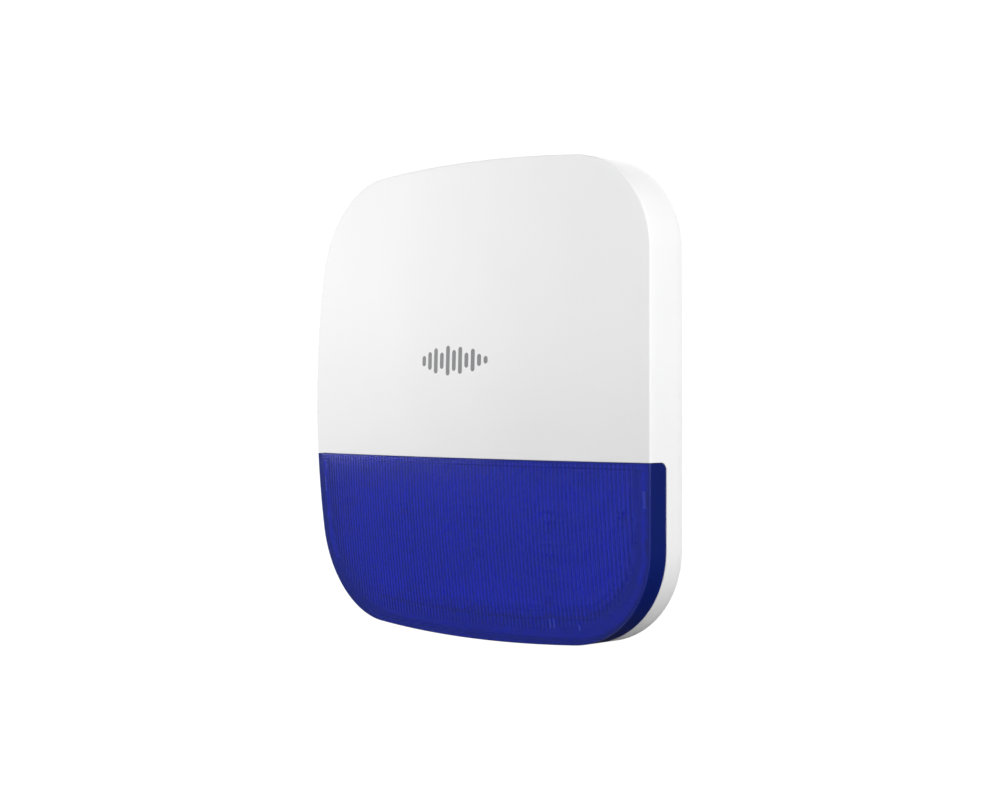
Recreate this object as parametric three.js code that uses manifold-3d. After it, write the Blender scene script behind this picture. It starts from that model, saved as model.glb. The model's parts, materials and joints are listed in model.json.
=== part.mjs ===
// Wall-mounted wireless alarm siren with a strobe lens, as an assembly of separate named pieces.
// Millimetres. +X is right as seen from the front, +Y points into the wall, +Z is up.
// The origin is the centre of the bracket's back face, where the siren meets the wall.
import * as THREE from 'three';
import { mergeVertices } from 'three/addons/utils/BufferGeometryUtils.js';
import Module from 'manifold-3d';

const wasm = await Module();
wasm.setup();

// Driving dimensions.
const DEPTH = 62;                 // wall to the crown of the front face
const HALF_WIDTH = 120;           // centre to the middle of each side
const SIDE_RADIUS = 978;          // slow bow of each of the four sides
const CORNER_RADIUS = 51.5;
const DOME_RADIUS = 719;          // crown of the front face, both ways
const RIM_DEPTH = 23.56;          // side wall, front rim to rear rim
const LENS_DEPTH = 11.81;         // how far the lens wraps round the side
const SPLIT_Z = -28.7;            // top edge of the lens
const LENS_CORNER = 4;            // round upper corner of the lens on each side wall
const SHELL_WALL = 3;
const LENS_WALL = 2.5;
const GAP = 0.3;                  // clearance between pieces that touch
const FAR = 200;                  // longer than the siren in any direction

// Rear case.
const TUB_HALF = 88;
const TUB_CORNER = 16;
const CASE_WALL = 2.5;
const CASE_BACK = -6;             // outer face of the case's back panel
const CASE_FLOOR = CASE_BACK - CASE_WALL;
const FLANGE_FRONT = 18.5;        // behind the dome
const FLANGE_BACK = 21;
const FLANGE_INSET = SHELL_WALL + 0.6;
const SWING_RELIEF = 7;           // the flange's inset at its top corners, which the cover's rim sweeps
const RELIEF_X = 60;              // the corners start here
const RELIEF_Z = 95;

// Seal and the cover's inner ledge that presses on it.
const LEDGE_INSET = 11.5;
const LEDGE_BACK = 14.5;
const SEAL_INSET = 9;
const SEAL_FRONT = LEDGE_BACK + GAP;
const SEAL_BACK = FLANGE_FRONT - GAP;

// Cover hinge at the top and lock screw at the bottom.
const HOOK_Y = -28.6;
const HOOK_Z = 113.4;
const HOOK_RADIUS = 1.4;
const HOOK_X = [-45, 45];
const LOCK_Y = -31.2;
const LOCK_HEAD_RADIUS = 2.8;
const LOCK_SHANK_RADIUS = 1.5;
const LOCK_SEAT_Z = -116.5;       // underside of the ledge that the screw head clamps
const LOCK_BOSS_TOP = -113.2;
const LUG_BOTTOM = -112.6;
const LUG_TOP = -100;

// Wall bracket: plate, studs and screw holes.
const PLATE_HALF = 80;
const PLATE_CORNER = 14;
const PLATE_THICK = 3;
const PLATE_RIM = 2;
const WALL_HOLE_RADIUS = 2.75;
const WALL_HOLES = [[-40, 73], [40, 73], [-40, -73], [40, -73]];
const STUDS = [[-72, 66], [72, 66], [-72, -60], [72, -60]];
const STUD_NECK = 2.2;
const STUD_HEAD = 4.5;
const STUD_HEAD_BACK = CASE_FLOOR - 0.5;
const STUD_HEAD_FRONT = STUD_HEAD_BACK - 2.5;
const LIFT = 10;                  // how far the case lifts to clear the studs

// Light unit behind the lens.
const REFLECTOR_TOP = -32.5;
const REFLECTOR_INSET = 14;
const REFLECTOR_WALL = 2;
const REFLECTOR_RIM = 5;          // rim of the basin, behind the dome
const REFLECTOR_FLOOR = -42;      // front face of the basin's floor
const REFLECTOR_POSTS = [[-97, -55], [97, -55], [-50, -98], [50, -98]];
const LED_SPOTS = [-50, 0, 50].flatMap((x) => [-62, -78].map((z) => [x, z]));
const LED_RADIUS = 3.2;
const LED_BOARD_FRONT = REFLECTOR_FLOOR + REFLECTOR_WALL + GAP;

// Main board.
const BOARD_THICK = 1.6;
const BOARD_FRONT = -27;
const BOARD_BACK = BOARD_FRONT + BOARD_THICK;
const ON_BOARD = BOARD_FRONT - GAP;
const BOARD_POSTS = [[-70, -30], [70, -30], [-70, -8], [70, -8]];

// Sounder.
const DRIVER = { x: -30, z: 35 };
const DRIVER_PLATE = 33;          // half side of its mounting plate
const DRIVER_SEAT = -16;          // front of the plate, under the screw heads
const DRIVER_BACK = -13;
const HORN_RADIUS = 35;
const MEMBRANE_RADIUS = 33;
const DRIVER_POSTS = [-29, 29].flatMap((z) => [-29, 29].map((x) => [DRIVER.x + x, DRIVER.z + z]));
const GRILLE_RADIUS = 28;
const WINDOW_RADIUS = 32;

// Battery pack: two columns of two cells.
const CELL_RADIUS = 8.3;
const CELL_LENGTH = 34.3;
const CELL_Y = CASE_FLOOR - GAP - 2.2 - GAP - CELL_RADIUS;
const CELL_COLUMNS = [27.7, 48.3];
const CELL_STARTS = [6.2, 6.2 + CELL_LENGTH + GAP];

// Switches.
const COVER_SWITCH = { x: -30, z: -19 };
const WALL_SWITCH = { x: 30, z: -19 };
const BUTTON = { x: -5, z: -25 };

// ---- Solids -----------------------------------------------------------------------------

// Turns a closed three.js geometry into a solid, facing outwards.
function solid(geometry) {
  geometry.deleteAttribute('normal');
  geometry.deleteAttribute('uv');
  const merged = mergeVertices(geometry);
  const vertProperties = new Float32Array(merged.attributes.position.array);
  const triVerts = new Uint32Array(merged.index.array);
  return new wasm.Manifold(new wasm.Mesh({ numProp: 3, vertProperties, triVerts }));
}

function geometryOf(body) {
  const mesh = body.getMesh();
  const geometry = new THREE.BufferGeometry();
  geometry.setAttribute('position', new THREE.BufferAttribute(mesh.vertProperties, mesh.numProp));
  geometry.setIndex(new THREE.BufferAttribute(mesh.triVerts, 1));
  geometry.computeVertexNormals();
  return geometry;
}

function box([x0, x1], [y0, y1], [z0, z1]) {
  const geometry = new THREE.BoxGeometry(x1 - x0, y1 - y0, z1 - z0);
  geometry.translate((x0 + x1) / 2, (y0 + y1) / 2, (z0 + z1) / 2);
  return solid(geometry);
}

// A shape drawn in X and Z, carried through from y0 to y1.
function prism(shape, y0, y1) {
  const geometry = new THREE.ExtrudeGeometry(shape, { depth: y1 - y0, bevelEnabled: false });
  geometry.rotateX(Math.PI / 2);
  geometry.translate(0, y1, 0);
  return solid(geometry);
}

// A turned piece about a line along Y. The profile holds [radius, y] pairs from axis to axis.
function turned(profile, x, z, segments = 24) {
  const points = profile.map(([radius, y]) => new THREE.Vector2(radius, y));
  const geometry = new THREE.LatheGeometry(points, segments);
  geometry.translate(x, 0, z);
  return solid(geometry);
}

function rod(x, z, radius, y0, y1, segments = 16) {
  return turned([[0, y0], [radius, y0], [radius, y1], [0, y1]], x, z, segments);
}

function tube(x, z, outer, inner, y0, y1, segments = 16) {
  return rod(x, z, outer, y0, y1, segments).subtract(rod(x, z, inner, y0 - 1, y1 + 1, segments));
}

// A round bar along Z or X.
function rodZ(x, y, radius, z0, z1, segments = 16) {
  const geometry = new THREE.CylinderGeometry(radius, radius, z1 - z0, segments);
  geometry.rotateX(Math.PI / 2);
  geometry.translate(x, y, (z0 + z1) / 2);
  return solid(geometry);
}

function rodX(y, z, radius, x0, x1, segments = 16) {
  const geometry = new THREE.CylinderGeometry(radius, radius, x1 - x0, segments);
  geometry.rotateZ(Math.PI / 2);
  geometry.translate((x0 + x1) / 2, y, z);
  return solid(geometry);
}

function joined(bodies) {
  return bodies.reduce((whole, body) => whole.add(body));
}

// ---- Outlines ---------------------------------------------------------------------------

function arcPoints(cx, cy, radius, from, to, steps) {
  const points = [];
  for (let i = 0; i < steps; i += 1) {
    const angle = from + ((to - from) * i) / steps;
    points.push(new THREE.Vector2(cx + radius * Math.cos(angle), cy + radius * Math.sin(angle)));
  }
  return points;
}

// The siren's outline: four bowed sides and four round corners, moved inwards by inset.
function outline(inset = 0) {
  const sideCentre = HALF_WIDTH - SIDE_RADIUS;
  const reach = SIDE_RADIUS - CORNER_RADIUS;
  const corner = (sideCentre + Math.sqrt(2 * reach ** 2 - sideCentre ** 2)) / 2;
  const lean = Math.atan2(corner, corner - sideCentre);
  const points = [];
  for (let quarter = 0; quarter < 4; quarter += 1) {
    const turn = (quarter * Math.PI) / 2;
    const side = new THREE.Vector2(sideCentre, 0).rotateAround(new THREE.Vector2(), turn);
    const knee = new THREE.Vector2(corner, corner).rotateAround(new THREE.Vector2(), turn);
    const sideRadius = SIDE_RADIUS - inset;
    const cornerRadius = CORNER_RADIUS - inset;
    points.push(...arcPoints(side.x, side.y, sideRadius, turn - lean, turn + lean, 4));
    points.push(...arcPoints(knee.x, knee.y, cornerRadius, turn + lean, turn + Math.PI / 2 - lean, 8));
  }
  return new THREE.Shape(points);
}

function roundedRect(cx, cz, halfX, halfZ, radius, steps = 5) {
  const points = [];
  const corners = [[1, 1], [-1, 1], [-1, -1], [1, -1]];
  corners.forEach(([sx, sz], index) => {
    const from = (index * Math.PI) / 2;
    const x = cx + sx * (halfX - radius);
    const z = cz + sz * (halfZ - radius);
    const to = from + Math.PI / 2;
    points.push(...arcPoints(x, z, radius, from, to, steps));
    points.push(new THREE.Vector2(x + radius * Math.cos(to), z + radius * Math.sin(to)));
  });
  return new THREE.Shape(points);
}

// ---- Domed space ------------------------------------------------------------------------

function domeY(radius, offset) {
  return -DEPTH + offset + radius ** 2 / (2 * DOME_RADIUS);
}

const DOME_STEPS = [0, 40, 80, 120, 160];

// Everything between two copies of the crowned front, offset backwards.
function domeSlab(front, back) {
  const near = DOME_STEPS.map((radius) => [radius, domeY(radius, front)]);
  const far = DOME_STEPS.map((radius) => [radius, domeY(radius, back)]).reverse();
  return turned([...near, ...far], 0, 0, 36);
}

// Everything from a copy of the crowned front back to a flat plane.
function domeToPlane(front, y) {
  const near = DOME_STEPS.map((radius) => [radius, domeY(radius, front)]);
  const rim = DOME_STEPS.at(-1);
  return turned([...near, [rim, y], [0, y]], 0, 0, 36);
}

function below(z) {
  return box([-FAR, FAR], [-FAR, FAR], [-FAR, z]);
}

function outlineBlock(inset) {
  return prism(outline(inset), -FAR / 2, FAR / 2);
}

function outlineRing(outerInset, innerInset) {
  return outlineBlock(outerInset).subtract(outlineBlock(innerInset));
}

// ---- Materials and the group ------------------------------------------------------------

const FINISHES = {
  white: { color: 0xf2f2f0, roughness: 0.42, metalness: 0 },
  lens: { color: 0x1b2cc0, roughness: 0.12, metalness: 0, transparent: true, opacity: 0.85 },
  case: { color: 0xe6e6e3, roughness: 0.55, metalness: 0 },
  rubber: { color: 0x2a2b2d, roughness: 0.8, metalness: 0 },
  steel: { color: 0xb9bcc0, roughness: 0.32, metalness: 1 },
  board: { color: 0x1f5b34, roughness: 0.5, metalness: 0 },
  ledBoard: { color: 0xeef0ee, roughness: 0.45, metalness: 0 },
  led: { color: 0xf4e9a6, roughness: 0.2, metalness: 0 },
  black: { color: 0x1c1d1f, roughness: 0.5, metalness: 0 },
  cell: { color: 0x3b6ea8, roughness: 0.35, metalness: 0 },
  lead: { color: 0xa02020, roughness: 0.5, metalness: 0 },
  brass: { color: 0xc9a75a, roughness: 0.35, metalness: 1 },
};

const siren = new THREE.Group();

function place(name, body, finish) {
  const mesh = new THREE.Mesh(geometryOf(body), new THREE.MeshStandardMaterial(FINISHES[finish]));
  mesh.name = name;
  siren.add(mesh);
}

// ---- Front ------------------------------------------------------------------------------

// Two bars inside the top wall that hook behind the case's flange and let the cover swing.
function coverHooks() {
  const length = 7;
  const web = 0.9;
  return joined(HOOK_X.map((x) => {
    const bar = rodX(HOOK_Y, HOOK_Z, HOOK_RADIUS, x - length, x + length);
    const post = box([x - length, x + length], [HOOK_Y - web, HOOK_Y + web], [HOOK_Z, HALF_WIDTH - 2]);
    return bar.add(post);
  }));
}

// The boss that the lock screw clamps: the screw's head sits in a pocket from below, and a
// slot lets the cover leave the screw as it swings out.
function lockBoss(body) {
  const boss = box([-8, 8], [-38, -28.9], [-118, LOCK_BOSS_TOP]);
  const head = LOCK_HEAD_RADIUS + 0.5;
  const shank = LOCK_SHANK_RADIUS + 0.5;
  const pocket = rodZ(0, LOCK_Y, head, -FAR, LOCK_SEAT_Z).add(
    box([-head, head], [LOCK_Y, 0], [-FAR, LOCK_SEAT_Z]),
  );
  const slot = rodZ(0, LOCK_Y, shank, -FAR, LOCK_BOSS_TOP + 1).add(
    box([-shank, shank], [LOCK_Y, 0], [-FAR, LOCK_BOSS_TOP + 1]),
  );
  return body.add(boss).subtract(pocket).subtract(slot);
}

// What rounds the lens's upper rear corner on both side walls, grown by a clearance.
function lensCornerFill(clearance) {
  const z = SPLIT_Z - LENS_CORNER;
  const rear = domeY(Math.hypot(HALF_WIDTH, SPLIT_Z), LENS_DEPTH + GAP);
  const front = rear - LENS_CORNER;
  const corner = box([-FAR, FAR], [front, rear + 1], [z, SPLIT_Z + 1]);
  const round = rodX(front, z, LENS_CORNER - clearance, -FAR, FAR, 32);
  return outlineRing(-1, SHELL_WALL + 1).intersect(corner.subtract(round));
}

function frontCover() {
  const outer = outlineBlock(0).intersect(domeSlab(0, RIM_DEPTH));
  const inner = outlineBlock(SHELL_WALL).intersect(domeSlab(SHELL_WALL, RIM_DEPTH + 9));
  const ledge = outlineRing(SHELL_WALL - 1, LEDGE_INSET).intersect(domeSlab(LENS_DEPTH + GAP, LEDGE_BACK));
  const lensRoom = below(SPLIT_Z)
    .intersect(domeSlab(-5, LENS_DEPTH + GAP))
    .subtract(lensCornerFill(0));
  // A lip behind the lens's top edge closes the joint.
  const lipDrop = 3;
  const lip = outlineBlock(LENS_WALL + GAP)
    .intersect(domeSlab(LENS_WALL + GAP, 5))
    .intersect(box([-FAR, FAR], [-FAR, FAR], [SPLIT_Z - lipDrop, SPLIT_Z + 4]));
  const post = rod(COVER_SWITCH.x, COVER_SWITCH.z, 3, -DEPTH + SHELL_WALL, -33.3);
  const shell = outer.subtract(inner).subtract(lensRoom).add(ledge).add(lip).add(post);
  return lockBoss(shell.add(coverHooks()));
}

function strobeLens() {
  const outer = outlineBlock(0).intersect(domeSlab(0, LENS_DEPTH));
  const inner = outlineBlock(LENS_WALL).intersect(domeSlab(LENS_WALL, LENS_DEPTH + 9));
  return outer.subtract(inner).intersect(below(SPLIT_Z - GAP)).subtract(lensCornerFill(GAP));
}

place('front_cover', frontCover(), 'white');
place('strobe_lens', strobeLens(), 'lens');
place(
  'cover_seal',
  outlineRing(SEAL_INSET, LEDGE_INSET).intersect(domeSlab(SEAL_FRONT, SEAL_BACK)),
  'rubber',
);

// ---- Rear case --------------------------------------------------------------------------

function squareBlock(half, radius, y0, y1) {
  return prism(roundedRect(0, 0, half, half, radius), y0, y1);
}

// A keyhole pocket for one bracket stud: the narrow end holds the stud, the wide end frees it.
function keyholeCut([x, z]) {
  const slot = STUD_NECK + GAP;
  const wide = STUD_HEAD + 0.8;
  const back = CASE_BACK + 1;
  const narrow = rod(x, z, slot, CASE_FLOOR - 1, back).add(
    box([x - slot, x + slot], [CASE_FLOOR - 1, back], [z - LIFT, z]),
  );
  const cavity = box([x - 6.5, x + 6.5], [STUD_HEAD_FRONT - 1, CASE_FLOOR], [z - 16, z + 7]);
  return narrow.add(rod(x, z - LIFT, wide, CASE_FLOOR - 1, back)).add(cavity);
}

function keyholePocket([x, z]) {
  return box([x - 8.5, x + 8.5], [STUD_HEAD_FRONT - 3, CASE_FLOOR + 0.5], [z - 18, z + 9]);
}

function grilleSlots() {
  const slots = [];
  const pitch = 8;
  const height = 3.5;
  for (let row = -3; row <= 3; row += 1) {
    const half = Math.sqrt(GRILLE_RADIUS ** 2 - (row * pitch) ** 2);
    const x = DRIVER.x;
    const z = DRIVER.z + row * pitch;
    slots.push(box([x - half, x + half], [CASE_FLOOR - 1, CASE_BACK + 1], [z - height / 2, z + height / 2]));
  }
  return joined(slots);
}

// A moulded post with a blind screw hole, from the case out to y.
function screwPost([x, z], base, y, radius) {
  const hole = 1.5;
  return rod(x, z, radius, y, base, 16).subtract(rod(x, z, hole, y - 1, y + 3.5, 12));
}

function rearCase() {
  const relief = outlineRing(0, SWING_RELIEF)
    .subtract(below(RELIEF_Z))
    .subtract(box([-RELIEF_X, RELIEF_X], [-FAR, FAR], [0, FAR]));
  const flange = outlineBlock(FLANGE_INSET).intersect(domeSlab(FLANGE_FRONT, FLANGE_BACK)).subtract(relief);
  const tub = squareBlock(TUB_HALF, TUB_CORNER, -FAR / 2, FAR / 2)
    .intersect(domeToPlane(FLANGE_FRONT, CASE_BACK));
  const hollow = squareBlock(TUB_HALF - CASE_WALL, TUB_CORNER - CASE_WALL, -FAR / 2, CASE_FLOOR);
  const notch = box([-9, 9], [-FAR, 0], [-FAR, LUG_BOTTOM]);
  const lug = box([-5, 5], [-34.3, -28.2], [LUG_BOTTOM, LUG_TOP]);
  const lugHole = rodZ(0, LOCK_Y, LOCK_SHANK_RADIUS + GAP, LUG_BOTTOM - 1, LUG_TOP + 1, 16);
  const posts = [
    ...BOARD_POSTS.map((spot) => screwPost(spot, CASE_FLOOR + 0.5, BOARD_BACK + GAP, 3)),
    ...DRIVER_POSTS.map((spot) => screwPost(spot, CASE_FLOOR + 0.5, DRIVER_BACK + GAP, 2.8)),
    ...REFLECTOR_POSTS.map((spot) => screwPost(spot, -33.5, REFLECTOR_FLOOR + REFLECTOR_WALL + GAP, 3.5)),
  ];
  const guide = rod(WALL_SWITCH.x, WALL_SWITCH.z, 6.6, -15.5, CASE_FLOOR + 0.5);
  const guideBore = rod(WALL_SWITCH.x, WALL_SWITCH.z, 4.6, -16, CASE_FLOOR);
  const guideHole = rod(WALL_SWITCH.x, WALL_SWITCH.z, 2.8, CASE_FLOOR - 1, CASE_BACK + 1);
  const pockets = STUDS.map(keyholePocket);
  const shell = flange.add(tub).subtract(hollow).subtract(notch).add(lug).subtract(lugHole);
  return joined([shell, guide, ...posts, ...pockets])
    .subtract(guideBore)
    .subtract(guideHole)
    .subtract(grilleSlots())
    .subtract(joined(STUDS.map(keyholeCut)));
}

function lockScrew() {
  const recess = 1.2;
  const head = rodZ(0, LOCK_Y, LOCK_HEAD_RADIUS, -119.4, LOCK_SEAT_Z - GAP, 24);
  const shank = rodZ(0, LOCK_Y, LOCK_SHANK_RADIUS, LOCK_SEAT_Z - 1, LUG_TOP - 2, 16);
  const cross = box([-2, 2], [LOCK_Y - 0.45, LOCK_Y + 0.45], [-120, -119.4 + recess]).add(
    box([-0.45, 0.45], [LOCK_Y - 2, LOCK_Y + 2], [-120, -119.4 + recess]),
  );
  return head.add(shank).subtract(cross);
}

place('rear_case', rearCase(), 'case');
place('cover_lock_screw', lockScrew(), 'steel');

// ---- Wall bracket -----------------------------------------------------------------------

function wallBracket() {
  const plate = squareBlock(PLATE_HALF, PLATE_CORNER, -PLATE_THICK, 0);
  const rim = squareBlock(PLATE_HALF, PLATE_CORNER, -PLATE_THICK - PLATE_RIM, -PLATE_THICK + 0.5).subtract(
    squareBlock(PLATE_HALF - PLATE_RIM, PLATE_CORNER - PLATE_RIM, -FAR, 0),
  );
  const studs = STUDS.map(([x, z]) => turned([
    [0, STUD_HEAD_FRONT], [STUD_HEAD, STUD_HEAD_FRONT], [STUD_HEAD, STUD_HEAD_BACK],
    [STUD_NECK, STUD_HEAD_BACK], [STUD_NECK, -1], [0, -1],
  ], x, z, 16));
  const holes = WALL_HOLES.map(([x, z]) => rod(x, z, WALL_HOLE_RADIUS, -FAR, 1, 16));
  const window = rod(DRIVER.x, DRIVER.z, WINDOW_RADIUS, -FAR, 1, 32);
  return joined([plate, rim, ...studs]).subtract(joined([window, ...holes]));
}

place('wall_bracket', wallBracket(), 'case');

// ---- Light unit -------------------------------------------------------------------------

function lightReflector() {
  const floorBack = REFLECTOR_FLOOR + REFLECTOR_WALL;
  const block = outlineBlock(REFLECTOR_INSET)
    .intersect(below(REFLECTOR_TOP))
    .intersect(domeToPlane(REFLECTOR_RIM, floorBack));
  const basin = prism(outline(REFLECTOR_INSET + REFLECTOR_WALL), -FAR, REFLECTOR_FLOOR)
    .intersect(below(REFLECTOR_TOP - REFLECTOR_WALL));
  const windows = LED_SPOTS.map(([x, z]) => rod(x, z, LED_RADIUS + 0.8, -FAR, 0, 16));
  const screwHoles = REFLECTOR_POSTS.map(([x, z]) => rod(x, z, 1.6, -FAR, 0, 12));
  return block.subtract(basin).subtract(joined([...windows, ...screwHoles]));
}

function led([x, z]) {
  const back = LED_BOARD_FRONT - GAP;
  const tip = back - 5;
  const profile = [
    [0, tip], [LED_RADIUS * 0.6, tip + 0.5], [LED_RADIUS, tip + 2], [LED_RADIUS, back], [0, back],
  ];
  return turned(profile, x, z, 16);
}

// A pan-head screw along Y, its head towards the front.
function screw([x, z], seat, length, headRadius = 2.8, shankRadius = 1.2) {
  const head = 1.6;
  const profile = [
    [0, seat - head], [headRadius * 0.6, seat - head], [headRadius, seat - head * 0.4],
    [headRadius, seat], [shankRadius, seat], [shankRadius, seat + length], [0, seat + length],
  ];
  return turned(profile, x, z, 12);
}

place('light_reflector', lightReflector(), 'white');
place('led_board', box([-72, 72], [LED_BOARD_FRONT, LED_BOARD_FRONT + BOARD_THICK], [-85, -54]), 'ledBoard');
LED_SPOTS.forEach((spot, index) => place(`strobe_led_${index + 1}`, led(spot), 'led'));
REFLECTOR_POSTS.forEach((spot, index) => {
  place(`reflector_screw_${index + 1}`, screw(spot, REFLECTOR_FLOOR - GAP, 5), 'steel');
});

// ---- Main board and what sits on it -----------------------------------------------------

function mainBoard() {
  const plate = box([-75, 75], [BOARD_FRONT, BOARD_BACK], [-34, -4]);
  return plate.subtract(joined(BOARD_POSTS.map(([x, z]) => rod(x, z, 1.6, -FAR, 0, 12))));
}

function radioShield() {
  const can = box([-62, -40], [ON_BOARD - 3.2, ON_BOARD], [-29, -10]);
  return can.subtract(box([-61.5, -40.5], [ON_BOARD - 2.7, 0], [-28.5, -10.5]));
}

// A switch body with a well that its plunger sinks into.
function switchBody({ x, z }, half, height, well) {
  const body = box([x - half, x + half], [ON_BOARD - height, ON_BOARD], [z - half, z + half]);
  return body.subtract(rod(x, z, well, -FAR, ON_BOARD - 1, 16));
}

function slideSwitchBody() {
  const body = box([4, 17], [ON_BOARD - 3.7, ON_BOARD], [-15.5, -8.5]);
  return body.subtract(box([5, 16], [-FAR, ON_BOARD - 1.7], [-13.2, -10.8]));
}

function slideSwitchLever() {
  const foot = box([5.4, 10.4], [ON_BOARD - 3.3, ON_BOARD - 2], [-12.9, -11.1]);
  return foot.add(box([6.6, 9.2], [ON_BOARD - 6, ON_BOARD - 3], [-12.9, -11.1]));
}

place('main_board', mainBoard(), 'board');
place('radio_shield', radioShield(), 'steel');
place('storage_capacitor', rod(50, -19, 5.5, ON_BOARD - 16, ON_BOARD), 'black');
place('cover_switch_body', switchBody(COVER_SWITCH, 4, 3.3, 2.1), 'black');
place('cover_switch_plunger', rod(COVER_SWITCH.x, COVER_SWITCH.z, 1.8, -33, -29.6, 16), 'white');
place('pairing_button_body', switchBody(BUTTON, 3.2, 3, 1.9), 'black');
place('pairing_button', rod(BUTTON.x, BUTTON.z, 1.6, -31.8, -29.2, 16), 'lead');
place('power_switch_body', slideSwitchBody(), 'black');
place('power_switch_lever', slideSwitchLever(), 'white');
BOARD_POSTS.forEach((spot, index) => {
  place(`board_screw_${index + 1}`, screw(spot, BOARD_FRONT - GAP, 4.5), 'steel');
});

// ---- Wall tamper switch, worked by a sprung plunger against the bracket -------------------

function wallPlunger() {
  return turned([
    [0, -18.7], [2.4, -18.7], [2.4, -11], [4.2, -11], [4.2, -9.2], [2.4, -9.2],
    [2.4, -PLATE_THICK - GAP], [0, -PLATE_THICK - GAP],
  ], WALL_SWITCH.x, WALL_SWITCH.z, 16);
}

place('wall_plunger', wallPlunger(), 'black');
place('wall_plunger_spring', tube(WALL_SWITCH.x, WALL_SWITCH.z, 3.9, 2.8, -15.5, -11.3, 16), 'steel');
place('wall_plunger_cap', tube(WALL_SWITCH.x, WALL_SWITCH.z, 6.6, 2.8, -17.4, -15.8), 'black');
place('wall_switch_body', box([26.8, 33.2], [BOARD_BACK + GAP, -21], [-22.2, -15.8]), 'black');

// ---- Sounder ----------------------------------------------------------------------------

function sirenDriver() {
  const body = turned([
    [0, -44], [15, -44], [16, -43], [16, -34], [29, -31], [30, -29], [30, -15], [0, -15],
  ], DRIVER.x, DRIVER.z, 36);
  const square = roundedRect(DRIVER.x, DRIVER.z, DRIVER_PLATE, DRIVER_PLATE, 6);
  const plate = prism(square, DRIVER_SEAT, DRIVER_BACK);
  return body.add(plate).subtract(joined(DRIVER_POSTS.map(([x, z]) => rod(x, z, 1.6, -FAR, 0, 12))));
}

function sirenHorn() {
  const throat = 20;
  const front = DRIVER_BACK + GAP;
  const back = -9.9;
  const profile = [[throat, front], [HORN_RADIUS, front], [HORN_RADIUS, back], [28, back], [throat, front]];
  return turned(profile, DRIVER.x, DRIVER.z, 36);
}

place('siren_driver', sirenDriver(), 'black');
place('siren_horn', sirenHorn(), 'case');
place('sound_membrane', rod(DRIVER.x, DRIVER.z, MEMBRANE_RADIUS, -9.6, CASE_FLOOR - GAP, 36), 'rubber');
DRIVER_POSTS.forEach((spot, index) => {
  place(`driver_screw_${index + 1}`, screw(spot, DRIVER_SEAT - GAP, 6.5), 'steel');
});

// ---- Battery pack -----------------------------------------------------------------------

function batteryHolder() {
  const floor = CASE_FLOOR - GAP;
  const tray = box([16, 60], [-26, floor], [2, 80]);
  const room = box([18, 58], [-FAR, floor - 2.2], [4, 78]);
  const divider = box([37.3, 38.7], [-20, floor - 1], [5.2, 76.8]);
  // A finger notch in each long wall to lift the cells.
  const notch = box([0, FAR], [-FAR, -19], [32, 50]);
  return tray.subtract(room).subtract(notch).add(divider);
}

function cell(x, z) {
  const shoulder = 1.2;
  const nub = 2.8;
  const body = rodZ(x, CELL_Y, CELL_RADIUS, z, z + CELL_LENGTH - shoulder, 28);
  return body.add(rodZ(x, CELL_Y, nub, z + CELL_LENGTH - shoulder - 0.5, z + CELL_LENGTH, 16));
}

// A flat contact plate with one raised dimple for each column of cells.
function contactPlate(z0, z1, tipZ) {
  const plate = box([19, 57], [-25, -12], [z0, z1]);
  const low = Math.min(z0, tipZ);
  const high = Math.max(z1, tipZ);
  return joined([plate, ...CELL_COLUMNS.map((x) => rodZ(x, CELL_Y, 3, low, high, 12))]);
}

place('battery_holder', batteryHolder(), 'black');
CELL_COLUMNS.forEach((x, column) => {
  CELL_STARTS.forEach((z, row) => place(`battery_cell_${column * 2 + row + 1}`, cell(x, z), 'cell'));
});
place('battery_contact_lower', contactPlate(4.3, 4.8, 5.9), 'steel');
place('battery_contact_upper', contactPlate(77.2, 77.7, 75.7), 'steel');

// ---- Aerial and leads -------------------------------------------------------------------

// A round wire through a few points, with flat ends.
function lead(points, radius) {
  const section = new THREE.Shape(arcPoints(0, 0, radius, 0, 2 * Math.PI, 6));
  const route = new THREE.CatmullRomCurve3(points.map((point) => new THREE.Vector3(...point)));
  return solid(new THREE.ExtrudeGeometry(section, { steps: 9, extrudePath: route, bevelEnabled: false }));
}

place('aerial_strip', box([70, 71.2], [-24, CASE_FLOOR - GAP], [2, 44]), 'board');
place('siren_lead', lead([[-22, -30, 4.3], [-20, -33, 1], [-18, -32.5, -5], [-17, -28.8, -8]], 1.2), 'lead');
place('battery_lead', lead([[38, -23, 0.4], [38, -27.5, -1], [38, -31, -4], [38, -28.8, -8.5]], 1.2), 'lead');
place('led_lead', lead([[22, -36.7, -58], [22, -34, -48], [22, -31, -38], [22, -28.8, -31]], 1.2), 'lead');
place('aerial_lead', lead([[68.7, -20, 6], [65, -25, 2], [61, -30, -3], [60, -28.4, -8]], 0.8), 'brass');

export default siren;
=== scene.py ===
"""Wall-mounted alarm siren: the looks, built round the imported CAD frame.

Mesh code works in millimetres in the frame's own axes (+X right, +Y into the wall, +Z up);
finish_piece() turns each mesh into metres.
"""
import json
import math
from functools import partial

import bmesh
import bpy
from mathutils import Matrix, Vector


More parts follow.
